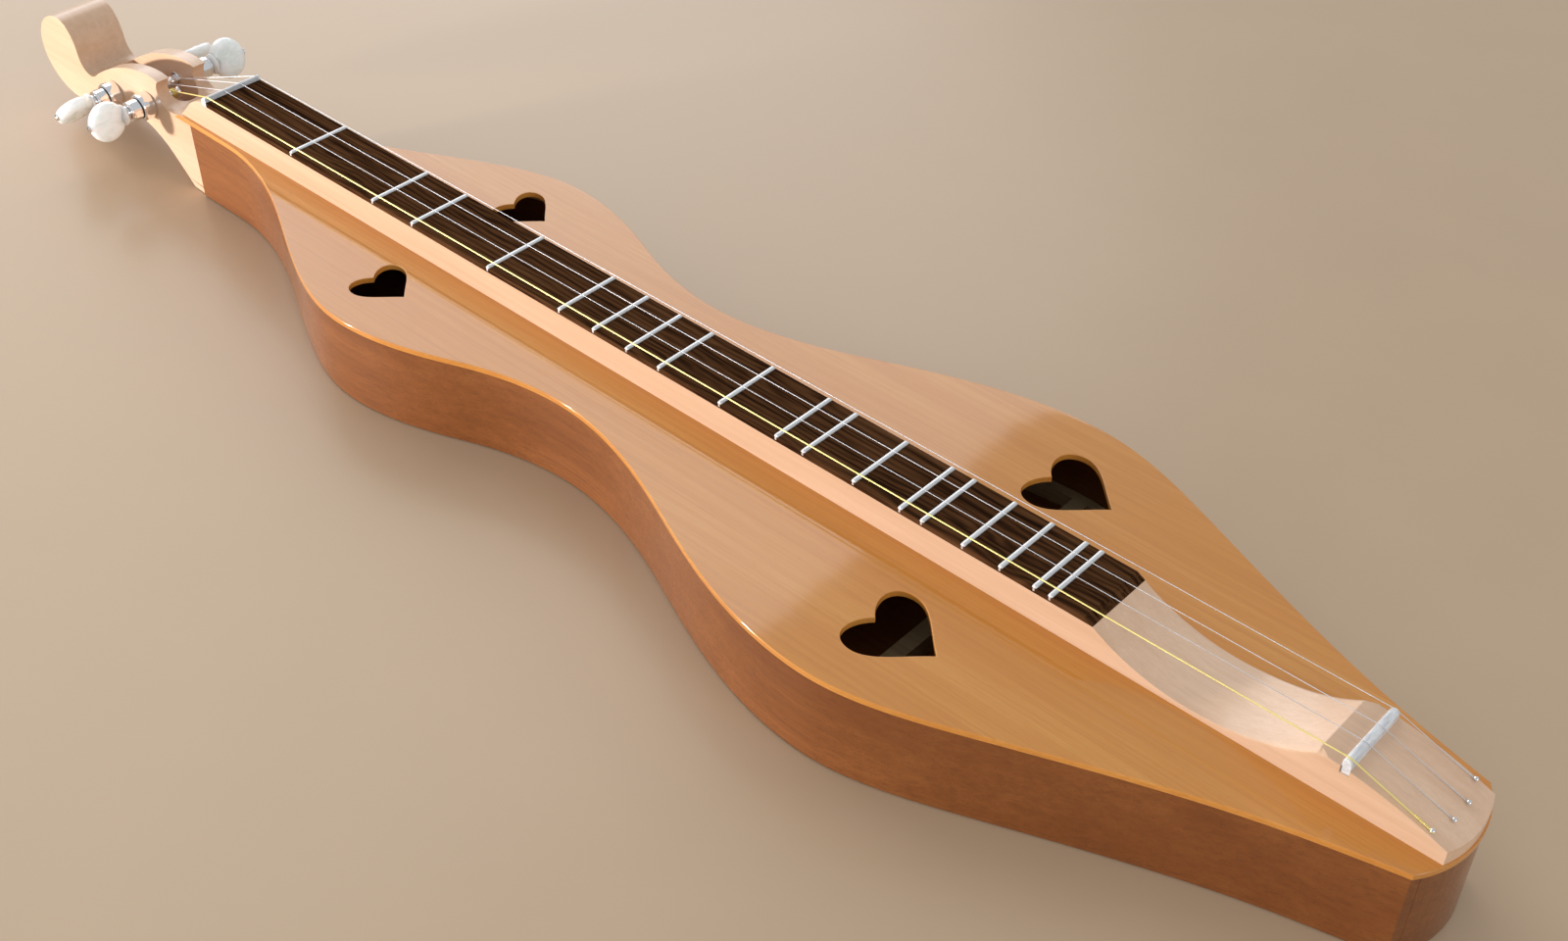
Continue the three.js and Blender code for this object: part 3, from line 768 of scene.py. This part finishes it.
def riser_stations():
    """Every (x, top, edge cut) along the riser, from the cove to the tail."""
    stations = []
    for x, z in COVE_RISE:
        if z > BODY_DEPTH + 0.05:
            stations.append((x, z, EDGE_ROUND))
    seat = -NUT_THICKNESS
    stations.append((seat + 0.01, RISER_TOP, 0.05))
    stations.append((0.2, RISER_TOP, 0.05))
    start = hollow_start(RISER_TOP)
    stations.append((start, RISER_TOP, 0.05))
    crest = HOLLOW_CENTRE + math.sqrt(HOLLOW_RADIUS ** 2 - (HOLLOW_FLOOR + HOLLOW_RADIUS - 69) ** 2)
    steps = 64
    for i in range(1, steps + 1):
        x = start + (crest - start) * i / steps
        cut = lip_chamfer(x) if x < LIP_END else LIP_CHAMFER
        stations.append((x, hollow_z(x), cut))
    slot_low = SCALE_LENGTH - SADDLE_THICKNESS / 2
    slot_high = SCALE_LENGTH + SADDLE_THICKNESS / 2
    for x in (crest + 0.6, crest + 2, crest + 5, slot_low - 0.02):
        fade = LIP_CHAMFER + (EDGE_ROUND - LIP_CHAMFER) * smoothstep(crest, crest + 5, x)
        stations.append((x, platform_z(x), fade))
    stations.append((slot_low, RISER_TOP, EDGE_ROUND))
    stations.append((slot_high, RISER_TOP, EDGE_ROUND))
    stations.append((slot_high + 0.02, platform_z(slot_high), EDGE_ROUND))
    radius = TAIL_RADIUS - OVERHANG
    turn = math.asin(BOARD_HALF / radius)
    tail_x = TAIL_CENTRE + radius * math.cos(turn)
    for i in range(1, 17):
        x = slot_high + (tail_x - slot_high) * i / 16
        stations.append((x, platform_z(x), EDGE_ROUND))
    for i in range(1, 13):
        x = TAIL_CENTRE + radius * math.cos(turn * (1 - i / 12))
        stations.append((x, platform_z(x), EDGE_ROUND))
    return stations


def make_riser():
    builder = Builder()
    sections = [riser_section(x, top, cut, board_half(x)) for x, top, cut in riser_stations()]
    builder.solid(sections)
    piece = builder.build("fretboard_riser", 30)
    return finish_piece(piece, MAPLE, "instrument", "pale_maple", "fretboard")


def make_overlay():
    """The dark board, with a tight slot for every fret."""
    builder = Builder()
    stations = [(0.0, OVERLAY_TOP)]
    for semitone in FRET_SEMITONES:
        x = fret_x(semitone)
        half = TANG_WIDTH / 2
        floor = OVERLAY_TOP - TANG_DEPTH
        stations += [(x - half, OVERLAY_TOP), (x - half, floor)]
        stations += [(x + half, floor), (x + half, OVERLAY_TOP)]
    sections = []
    for x, top in stations:
        sections.append(overlay_section(x, x, top))
    top_end = hollow_start(OVERLAY_TOP)
    low_end = hollow_start(RISER_TOP)
    sections.append(overlay_section(low_end, top_end, OVERLAY_TOP))
    builder.solid(sections)
    piece = builder.build("fretboard_top", 30)
    return finish_piece(piece, ROSEWOOD, "instrument", "dark_rosewood", "fretboard_overlay")


def overlay_section(low_x, high_x, top):
    """Across the overlay; its lower edge may stand further along than its upper edge."""
    half = BOARD_HALF
    cut = 0.3
    right = [(low_x, half, RISER_TOP), (high_x, half, top - cut), (high_x, half - cut, top)]
    left = [(x, -y, z) for x, y, z in reversed(right)]
    return [place(*point) for point in right + left]


def crown_section(x, y, share):
    """Half round across a fret's crown, lower and narrower where share is below one."""
    half = CROWN_WIDTH / 2 * (0.75 + 0.25 * share)
    steps = 14
    section = [place(x - half, y, OVERLAY_TOP - 0.05)]
    for i in range(steps + 1):
        angle = math.pi * (1 - i / steps)
        height = CROWN_HEIGHT * share * math.sin(angle) ** 0.9 if 0 < i < steps else 0
        section.append(place(x + half * math.cos(angle), y, OVERLAY_TOP + height))
    section.append(place(x + half, y, OVERLAY_TOP - 0.05))
    return section


def make_fret(index, semitone):
    """One fret. Its crown slopes in at both ends and its tang shows at the board's edges."""
    builder = Builder()
    x = fret_x(semitone)
    reach = BOARD_HALF
    stations = [(-reach, 0.25), (-reach + 0.35, 0.72), (-reach + 0.8, 0.94), (-reach + 1.4, 1.0)]
    stations += [(-y, share) for y, share in reversed(stations)]
    builder.solid([crown_section(x, y, share) for y, share in stations])
    half = TANG_WIDTH / 2
    low = OVERLAY_TOP - TANG_DEPTH
    high = OVERLAY_TOP + 0.1
    tang = []
    for y in (-reach - TANG_PROUD, reach + TANG_PROUD):
        corners = [(x - half, low), (x + half, low), (x + half, high), (x - half, high)]
        tang.append([place(corner_x, y, corner_z) for corner_x, corner_z in corners])
    builder.solid(tang)
    name = f"fret_{index:02d}"
    piece = builder.build(f"{name}_wire", 40)
    return finish_piece(piece, FRET_METAL, "instrument", "fret_wire", name)


# ---- Nut, saddle and hitch pins ----------------------------------------------------------


def nut_top(x):
    """Height of the nut's top from its back edge, at -4, to its front edge, at 0."""
    t = (x + NUT_THICKNESS) / NUT_THICKNESS
    if t > 0.85:
        return NUT_TOP - 0.5 * ((t - 0.85) / 0.15) ** 2
    return NUT_TOP - 1.9 * (1 - t / 0.85) ** 1.8


def groove_depth(x, y):
    """How far a string's groove cuts into the nut."""
    depth = 0.0
    for _, string_y, radius, _ in STRINGS:
        wide = radius + GROOVE_ROOM
        if abs(y - string_y) < wide:
            floor = STRING_NUT_Z - 0.05 + min(x, 0) * 0.28
            depth = max(depth, nut_top(x) - floor)
    return depth


def make_nut():
    builder = Builder()
    edges = [-BOARD_HALF, BOARD_HALF]
    for _, string_y, radius, _ in STRINGS:
        wide = radius + GROOVE_ROOM
        edges += [string_y - wide - GROOVE_WALL, string_y - wide + GROOVE_WALL]
        edges += [string_y + wide - GROOVE_WALL, string_y + wide + GROOVE_WALL]
    edges += [-BOARD_HALF + 0.4, BOARD_HALF - 0.4]
    xs = [-NUT_THICKNESS * (1 - i / 12) for i in range(13)]
    sections = []
    for y in sorted(edges):
        drop = 0.35 if abs(y) > BOARD_HALF - 0.2 else 0
        ring = [place(-NUT_THICKNESS, y, RISER_TOP), place(0, y, RISER_TOP)]
        for x in reversed(xs):
            ring.append(place(x, y, nut_top(x) - groove_depth(x, y) - drop))
        sections.append(ring)
    builder.solid(sections)
    piece = builder.build("nut_bone", 30)
    return finish_piece(piece, BONE, "instrument", "bone_white", "nut")


def make_saddle():
    builder = Builder()
    half = SADDLE_THICKNESS / 2
    profile = [(-half, RISER_TOP), (half, RISER_TOP), (half, SADDLE_TOP - 1.9)]
    for i in range(1, 12):
        angle = math.pi * i / 12
        profile.append((half * math.cos(angle), SADDLE_TOP - 1.9 + 1.9 * math.sin(angle)))
    profile.append((-half, SADDLE_TOP - 1.9))
    ends = [(-SADDLE_HALF, 0.8), (-SADDLE_HALF + 0.25, 0.25), (-SADDLE_HALF + 0.8, 0)]
    ends += [(-y, drop) for y, drop in reversed(ends)]
    sections = []
    for y, drop in ends:
        share = 1 - drop * 0.12
        ring = []
        for x, z in profile:
            lower = drop if z > RISER_TOP + 1 else 0
            ring.append(place(SCALE_LENGTH + x * share, y, z - lower))
        sections.append(ring)
    builder.solid(sections)
    piece = builder.build("saddle_bone", 40)
    return finish_piece(piece, BONE, "instrument", "bone_white", "saddle")


def pin_place(y):
    x = TAIL_CENTRE + math.sqrt((TAIL_RADIUS - PIN_INSET) ** 2 - y ** 2)
    return x, platform_z(x)


def make_pin(index, y):
    """A small round-headed nail, upright in the platform."""
    x, z = pin_place(y)
    profile = [(0.01, -7), (0.3, -6.9), (0.55, -6), (PIN_SHANK, 1.0), (0.75, 1.08), (0.95, 1.2)]
    profile += [(1.0, 1.35), (0.92, 1.6), (0.7, 1.78), (0.4, 1.87), (0.01, 1.9)]
    name = f"hitch_pin_{index}"
    piece = lathe(profile, place(x, y, z), 24, f"{name}_nail", 35, Vector((0, 0, 1)))
    return finish_piece(piece, PIN_METAL, "instrument", "pin_steel", name)


# ---- Strings -----------------------------------------------------------------------------


def tangent_point(nut_point, centre, radius):
    """Where a string that comes from nut_point first touches the post, seen along Y."""
    dx = nut_point[0] - centre[0]
    dz = nut_point[1] - centre[1]
    distance = math.hypot(dx, dz)
    angle = math.atan2(dz, dx) + math.acos(radius / distance)
    return centre[0] + radius * math.cos(angle), centre[1] + radius * math.sin(angle)


def string_finish(name):
    """A string's material and its slot."""
    if name == "string_bass":
        return BRONZE, "wound_bronze"
    return STRING_METAL, "plain_string_steel"


def winding_side(tuner):
    return TUNERS[tuner][2] * 1.6


def make_string(name, y, radius, tuner):
    """From its hitch pin over the saddle and the nut to its post, with a twisted loop."""
    pin_x, pin_z = pin_place(y)
    lift = radius + 0.05
    top_z = SADDLE_TOP + lift
    nut_z = STRING_NUT_Z + lift
    post_x, post_z = TUNERS[tuner][:2]
    centre = (post_x, post_z)
    wrap = POST_WAIST + radius
    end_x, end_z = tangent_point((-NUT_THICKNESS, nut_z - 1.0), centre, wrap)
    loop_z = pin_z + 0.55 + radius
    points = [
        place(pin_x - PIN_SHANK - radius, y, loop_z),
        place(SCALE_LENGTH + 1.2, y, top_z - 0.3),
        place(SCALE_LENGTH + 0.5, y, top_z - 0.04),
        place(SCALE_LENGTH - 0.2, y, top_z),
        place(0, y, nut_z),
        place(-1.2, y, nut_z - 0.12),
        place(-2.6, y, nut_z - 0.55),
        place(end_x, winding_side(tuner), end_z),
    ]
    builder = Builder()
    builder.tube(points, radius * MM, 10)
    loop = []
    wire = radius * 0.6
    bend = PIN_SHANK + wire
    for k in range(25):
        angle = 2 * math.pi * k / 24
        loop.append(place(pin_x + bend * math.cos(angle), y + bend * math.sin(angle), loop_z))
    builder.tube(loop, wire * MM, 8)
    twist = []
    turns = 9
    slope = (top_z - loop_z) / (pin_x - 1 - SCALE_LENGTH - 1)
    for k in range(turns * 10 + 1):
        angle = 2 * math.pi * k / 10
        along = bend + k * 0.08
        wrap_radius = radius * 1.15
        twist.append(place(
            pin_x - along,
            y + wrap_radius * math.cos(angle),
            loop_z + slope * along + wrap_radius * math.sin(angle),
        ))
    builder.tube(twist, wire * 0.7 * MM, 6)
    piece = builder.build(f"{name}_wire", 60)
    material, slot = string_finish(name)
    return finish_piece(piece, material, "instrument", slot, name)


def make_winding(name, radius, tuner):
    """The turns of string on a post. They turn with it."""
    post_x, post_z, side, _ = TUNERS[tuner]
    wrap = POST_WAIST + radius
    start = winding_side(tuner)
    pitch = radius * 2.15
    turns = 4
    per_turn = 28
    points = []
    for k in range(turns * per_turn + 1):
        angle = 2 * math.pi * k / per_turn + math.pi * 0.55
        y = start - side * pitch * k / per_turn
        points.append(place(post_x + wrap * math.cos(angle), y, post_z + wrap * math.sin(angle)))
    builder = Builder()
    builder.tube(points, radius * MM, 8)
    piece = builder.build(f"{name}_winding", 60)
    material, slot = string_finish(name)
    return finish_piece(piece, material, f"tuner_post_{tuner + 1}", slot)


# ---- Peg head ----------------------------------------------------------------------------


def head_profile():
    """The head in side view, as (x, z), anticlockwise from the block inside the body."""
    profile = [(HEAD_BLOCK_END, BODY_DEPTH - PLATE)]
    block_x = cove_x(BODY_DEPTH - PLATE)
    rising = [point for point in COVE_RISE if point[0] < block_x]
    falling = COVE[: COVE.index(COVE_BOTTOM)]
    profile.append((block_x, BODY_DEPTH - PLATE))
    profile += list(reversed(rising))
    profile += list(reversed(falling))
    curves = [
        ((-55, 60.5), (-58, 60.8), (-61, 60.8), 4),
        ((-86, 60.8), (-113, 46), (-124, 37.9), 26),
        ((-126, 36.3), (-128.5, 34.6), (-131, 34.6), 8),
        ((-137.5, 34.6), (-141, 38.5), (-142, 46), 14),
        ((-143.2, 55), (-148, 63.7), (-157.5, 63.7), 18),
        ((-168, 63.7), (-HEAD_REACH, 54), (-HEAD_REACH, 38), 20),
        ((-HEAD_REACH, 24), (-170, 12.6), (-153, 12.6), 20),
        ((-138, 12.6), (-105, 24.5), (-78, 26), 20),
        ((-66, 25), (-48, 12), (-33, 0), 18),
    ]
    for first, second, end, steps in curves:
        profile += bezier(profile[-1], first, second, end, steps)
    profile.append((SIDE_START, 0))
    profile.append((SIDE_START, PLATE))
    profile.append((HEAD_BLOCK_END, PLATE))
    return profile


def head_half(x):
    """Half width of the head: parallel cheeks that flare to the riser's width."""
    if x <= HEAD_FLARE:
        return HEAD_HALF
    share = (x - HEAD_FLARE) / (SIDE_START - HEAD_FLARE)
    if x <= SIDE_START:
        return HEAD_HALF + (BOARD_HALF - HEAD_HALF) * share
    return edge_at(0)[0] - OVERHANG - SIDE_THICKNESS


def head_blank():
    """The head without its slot, with its cheeks split where they start to flare."""
    builder = Builder()
    profile = head_profile()
    outline = []
    for i, (ax, az) in enumerate(profile):
        bx, bz = profile[(i + 1) % len(profile)]
        outline.append((ax, az))
        for split in (HEAD_FLARE, SIDE_START + 0.01):
            if (ax - split) * (bx - split) < 0:
                t = (split - ax) / (bx - ax)
                outline.append((split, az + (bz - az) * t))
    loops = []
    for sign in (1, -1):
        loops.append([place(x, sign * head_half(x), z) for x, z in outline])
    near, far = builder.loops(loops)
    zones = [(-999, HEAD_FLARE), (HEAD_FLARE, SIDE_START + 0.01), (SIDE_START + 0.01, 999)]
    for ring, flip in ((near, True), (far, False)):
        for low, high in zones:
            part = [index for index, (x, _) in zip(ring, outline) if low - 1e-6 <= x <= high + 1e-6]
            if len(part) > 2:
                builder.cap([part], flip=flip)
    return builder.build("peg_head_block", 35)


def slot_cutter():
    """The string slot's space: round at the nut end, its floor rising to the nut."""
    builder = Builder()
    radius = SLOT_HALF
    plan = [(SLOT_START, -radius)]
    steps = 24
    for i in range(steps + 1):
        angle = -math.pi / 2 + math.pi * i / steps
        plan.append((SLOT_END - radius + radius * math.cos(angle), radius * math.sin(angle)))
    plan.append((SLOT_START, radius))

    def floor(x):
        return 25.5 + (x - SLOT_START + 5) * (5.5 / 67) if x < -60 else 31 + (x + 60) * (5 / 18)

    low = [place(x, y, floor(x)) for x, y in plan]
    high = [place(x, y, 90) for x, y in plan]
    first, last = builder.loops([low, high])
    builder.cap([first], flip=True)
    builder.cap([last])
    return builder.build("slot_space", 35)


def make_head():
    head = head_blank()
    cut_away(head, slot_cutter())
    soften = head.modifiers.new("soften", "BEVEL")
    soften.width = 0.7 * MM
    soften.segments = 3
    soften.limit_method = "ANGLE"
    soften.angle_limit = math.radians(38)
    soften.use_clamp_overlap = True
    apply_modifiers(head)
    shade(head, 35)
    return finish_piece(head, MAPLE, "instrument", "pale_maple", "peg_head")


# ---- Tuners ------------------------------------------------------------------------------


def make_tuner(index, x, z, side, turn):
    centre = place(x, 0, z)
    make_housing(index, centre, side)
    make_post(index, centre, side)
    make_shaft(index, centre, side)
    make_button(index, centre, side, turn)


def make_housing(index, centre, side):
    """Chrome case: a bushing lip in the slot, the big barrel, the small barrel."""
    profile = [
        (POST_BORE, BUSHING_START),
        (BUSHING_RADIUS - 0.2, BUSHING_START),
        (BUSHING_RADIUS, BUSHING_START + 0.3),
        (BUSHING_RADIUS, CHEEK_FACE),
        (BARREL_RADIUS - 0.3, CHEEK_FACE + 0.05),
    ]
    barrel = [
        (BARREL_RADIUS, CHEEK_FACE + 0.4),
        (BARREL_RADIUS, BARREL_END - 1.0),
        (BARREL_RADIUS - 0.25, BARREL_END - 0.4),
        (BARREL_RADIUS - 0.8, BARREL_END),
        (SMALL_RADIUS - 0.8, BARREL_END),
    ]
    small = [
        (SMALL_RADIUS - 0.8, BARREL_END + RING_WIDTH),
        (SMALL_RADIUS - 0.2, BARREL_END + RING_WIDTH),
        (SMALL_RADIUS, BARREL_END + RING_WIDTH + 0.2),
        (SMALL_RADIUS, SMALL_END - 1.6),
        (SMALL_RADIUS - 0.35, SMALL_END - 1.4),
        (SMALL_RADIUS - 0.35, SMALL_END - 1.0),
        (SMALL_RADIUS - 0.1, SMALL_END - 0.8),
        (SMALL_RADIUS - 0.15, SMALL_END - 0.3),
        (SMALL_RADIUS - 0.6, SMALL_END),
        (SHAFT_BORE, SMALL_END),
        (SHAFT_BORE, BORE_STEP),
        (POST_BORE, BORE_STEP),
        (POST_BORE, BUSHING_START),
    ]
    piece = lathe(profile + barrel + small, centre, 64, f"tuner_case_{index}", 28, Vector((0, side, 0)))
    finish_piece(piece, CHROME, "instrument", "peg_chrome", f"peg_housing_{index}")
    # The black ring in the groove between the two barrels is painted shade.
    ring_profile = [
        (SMALL_RADIUS - 0.8, BARREL_END + 0.02),
        (SMALL_RADIUS + 0.1, BARREL_END + 0.02),
        (SMALL_RADIUS + 0.15, BARREL_END + 0.1),
        (SMALL_RADIUS + 0.05, BARREL_END + 0.3),
        (SMALL_RADIUS - 0.8, BARREL_END + 0.38),
        (SMALL_RADIUS - 0.8, BARREL_END + 0.02),
    ]
    ring = lathe(ring_profile, centre, 64, f"tuner_ring_{index}", 40, Vector((0, side, 0)))
    finish_piece(ring, RING, "instrument", "tuner_ring")


def make_post(index, centre, side):
    """The string post, with a waist for the winding and a domed end."""
    profile = [
        (0.01, 19.6),
        (POST_RADIUS, 19.6),
        (POST_RADIUS, 5.2),
        (POST_RADIUS - 0.1, 4.9),
        (POST_WAIST, 4.0),
        (POST_WAIST, -2.9),
        (POST_RADIUS - 0.1, -3.55),
        (POST_RADIUS, -3.7),
        (POST_RADIUS, -3.9),
        (POST_RADIUS - 0.25, -4.3),
        (POST_RADIUS - 0.8, -POST_REACH),
        (0.01, -POST_REACH),
    ]
    piece = lathe(profile, centre, 40, f"tuner_post_{index}_pin", 40, Vector((0, side, 0)))
    finish_piece(piece, CHROME, f"tuner_post_{index}", "peg_chrome", f"peg_post_{index}")


def make_shaft(index, centre, side):
    """The button's shaft, and at its far end the slotted screw that holds the button."""
    tip = BUTTON_CENTRE + BUTTON_REACH
    profile = [
        (0.01, 20.4),
        (3.5, 20.4),
        (3.6, 20.6),
        (3.6, SMALL_END + 0.6),
        (4.2, SMALL_END + 0.7),
        (4.3, SMALL_END + 1.0),
        (4.2, SMALL_END + 1.6),
        (3.7, SMALL_END + 1.8),
        (SCREW_RADIUS, 32.1),
        (SCREW_RADIUS, tip - 0.1),
        (SCREW_RADIUS * 1.5, tip - 0.1),
        (SCREW_RADIUS * 1.55, tip + 0.2),
        (SCREW_RADIUS * 1.35, tip + 0.75),
        (SCREW_RADIUS * 0.9, tip + 1.05),
        (0.01, tip + 1.1),
    ]
    piece = lathe(profile, centre, 40, f"tuner_shaft_{index}_pin", 35, Vector((0, side, 0)))
    cutter = Builder()
    ring_low = [(-0.35, tip + 0.55), (0.35, tip + 0.55), (0.35, tip + 3), (-0.35, tip + 3)]
    loops = []
    for z in (-5, 5):
        loops.append([centre + Vector((px, side * along, z)) * MM for px, along in ring_low])
    cutter.solid(loops)
    driver = cutter.build("driver_slot", 35)
    cut_away(piece, driver)
    shade(piece, 35)
    finish_piece(piece, CHROME, f"tuner_button_{index}", "peg_chrome", f"peg_shaft_{index}")


def make_button(index, centre, side, turn):
    """An oval pearloid paddle with a round shoulder, turned about the peg's axis."""
    builder = Builder()
    rounding = [(0.35, -1.0), (0.62, -0.97), (0.80, -0.88), (0.92, -0.70), (0.975, -0.45), (1.0, -0.15)]
    levels = rounding + [(share, -height) for share, height in reversed(rounding)]
    segments = 56
    spin = Matrix.Rotation(math.radians(-side * turn), 4, "Y")
    rings = []
    for share, height in levels:
        ring = []
        for k in range(segments):
            angle = 2 * math.pi * k / segments
            local = Vector((
                height * BUTTON_HALF,
                BUTTON_REACH * share * math.cos(angle),
                BUTTON_RADIUS * share * math.sin(angle),
            ))
            local = spin @ local
            offset = Vector((local.x, local.y + side * BUTTON_CENTRE, local.z))
            ring.append(centre + offset * MM)
        rings.append(ring)
    builder.solid(rings)
    paddle = builder.build(f"tuner_paddle_{index}", 50)
    body = f"tuner_button_{index}"
    finish_piece(paddle, PEARLOID, body, "pearloid", f"peg_button_{index}")
    profile = [
        (3.9, 32.3),
        (4.9, 32.35),
        (5.6, 32.7),
        (SHOULDER_RADIUS - 0.25, 33.2),
        (SHOULDER_RADIUS, 33.8),
        (SHOULDER_RADIUS - 0.15, 34.5),
        (SHOULDER_RADIUS - 0.8, 35.0),
        (4.7, 35.4),
        (3.9, 37.0),
        (0.01, 37.4),
        (0.01, 32.3),
        (3.9, 32.3),
    ]
    shoulder = lathe(profile, centre, 48, f"tuner_shoulder_{index}", 45, Vector((0, side, 0)))
    finish_piece(shoulder, PEARLOID, body, "pearloid")


# ---- Build -------------------------------------------------------------------------------

make_soundboard()
make_back()
make_side("bass", -1)
make_side("treble", 1)
make_riser()
make_overlay()
for number, semitones in enumerate(FRET_SEMITONES, 1):
    make_fret(number, semitones)
make_nut()
make_saddle()
for number, (string_name, string_y, string_radius, string_tuner) in enumerate(STRINGS, 1):
    make_pin(number, string_y)
    make_string(string_name, string_y, string_radius, string_tuner)
    make_winding(string_name, string_radius, string_tuner)
make_head()
for number, (tuner_x, tuner_z, tuner_side, tuner_turn) in enumerate(TUNERS, 1):
    make_tuner(number, tuner_x, tuner_z, tuner_side, tuner_turn)

for node_name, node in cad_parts.items():
    if node_name.startswith(("lining", "brace")):
        node.data.materials.clear()
        node.data.materials.append(INNER_WOOD)
    elif node_name == "tail_block":
        node.data.materials.clear()
        node.data.materials.append(SIDE_WOOD)

# ---- Floor, light and camera -------------------------------------------------------------

# Places and sizes in metres, powers in watts. A BACK points from what a light lights to it.
KEY_PLACE = (-1.11, -1.41, 0.11)
KEY_BACK = (-1.0, -1.35, 0.07)
KEY_SIZE = 0.12
KEY_POWER = 45
KEY_COLOUR = (1.0, 0.94, 0.90)
TAIL_PLACE = (2.2, -0.5, 0.9)
TAIL_BACK = (1.8, -0.4, 0.8)
TAIL_WIDTH = 1.2
TAIL_HEIGHT = 1.0
TAIL_POWER = 12
WINDOW_CORNER = (-0.991, 2.624, 1.739)
WINDOW_ACROSS = (-0.263, -0.855, 0.446)
WINDOW_BACK = (-0.604, 0.507, 0.616)
WINDOW_WIDTH = 3.4
WINDOW_HEIGHT = 2.6
WINDOW_POWER = 52
WINDOW_COLOUR = (1.0, 0.99, 1.0)
WORLD_COLOUR = (0.95, 0.98, 1.0)
WORLD_STRENGTH = 0.6
FLOOR_HALF = 6
FLOOR_GAP = 0.0005
CAMERA_PLACE = (0.5854, -0.5034, 0.6047)
CAMERA_TARGET = (0.1053, 0.0266, 0)
CAMERA_LENS = 44.36
CAMERA_ROLL = 0.435


def make_floor():
    half = FLOOR_HALF
    corners = [(-half, -half, 0), (half, -half, 0), (half, half, 0), (-half, half, 0)]
    floor = new_piece("floor", corners, [(0, 1, 2, 3)])
    floor.location.z = -FLOOR_GAP
    floor.data.materials.append(pale_floor())


def softbox(name, centre, back, across, size, power, colour):
    """A rectangular soft light, its width along across."""
    back = Vector(back).normalized()
    across = (Vector(across) - back * back.dot(Vector(across))).normalized()
    data = bpy.data.lights.new(name, "AREA")
    data.shape = "RECTANGLE"
    data.size, data.size_y = size
    data.energy = power
    data.color = colour
    lamp = bpy.data.objects.new(name, data)
    turn = Matrix((across, back.cross(across), back)).transposed().to_4x4()
    lamp.matrix_world = Matrix.Translation(centre) @ turn
    bpy.context.scene.collection.objects.link(lamp)


def make_lights():
    """A low key beyond the near side of the head, a wide box beyond the far side, a tail fill."""
    key_size = (KEY_SIZE, KEY_SIZE)
    softbox("key", KEY_PLACE, KEY_BACK, (1, 0, 0), key_size, KEY_POWER, KEY_COLOUR)
    tail_size = (TAIL_WIDTH, TAIL_HEIGHT)
    softbox("tail_fill", TAIL_PLACE, TAIL_BACK, (0, 1, 0), tail_size, TAIL_POWER, (1, 1, 1))
    across = Vector(WINDOW_ACROSS)
    back = Vector(WINDOW_BACK)
    down = across.cross(back)
    centre = Vector(WINDOW_CORNER) + across * WINDOW_WIDTH / 2 + down * WINDOW_HEIGHT / 2
    window_size = (WINDOW_WIDTH, WINDOW_HEIGHT)
    softbox("window", centre, back, across, window_size, WINDOW_POWER, WINDOW_COLOUR)


def make_world():
    world = bpy.data.worlds.new("studio")
    world.use_nodes = True
    background = world.node_tree.nodes["Background"]
    background.inputs["Color"].default_value = (*WORLD_COLOUR, 1)
    background.inputs["Strength"].default_value = WORLD_STRENGTH
    bpy.context.scene.world = world


def make_camera():
    """From the near side and above, with the tail end closest."""
    data = bpy.data.cameras.new("camera")
    data.sensor_width = 36
    data.lens = CAMERA_LENS
    data.clip_start = 0.01
    camera = bpy.data.objects.new("camera", data)
    position = Vector(CAMERA_PLACE)
    aim = (Vector(CAMERA_TARGET) - position).to_track_quat("-Z", "Y").to_matrix().to_4x4()
    roll = Matrix.Rotation(math.radians(CAMERA_ROLL), 4, "Z")
    camera.matrix_world = Matrix.Translation(position) @ aim @ roll
    bpy.context.scene.collection.objects.link(camera)
    bpy.context.scene.camera = camera


make_floor()
make_world()
make_lights()
make_camera()
bpy.context.scene.view_settings.view_transform = "Standard"
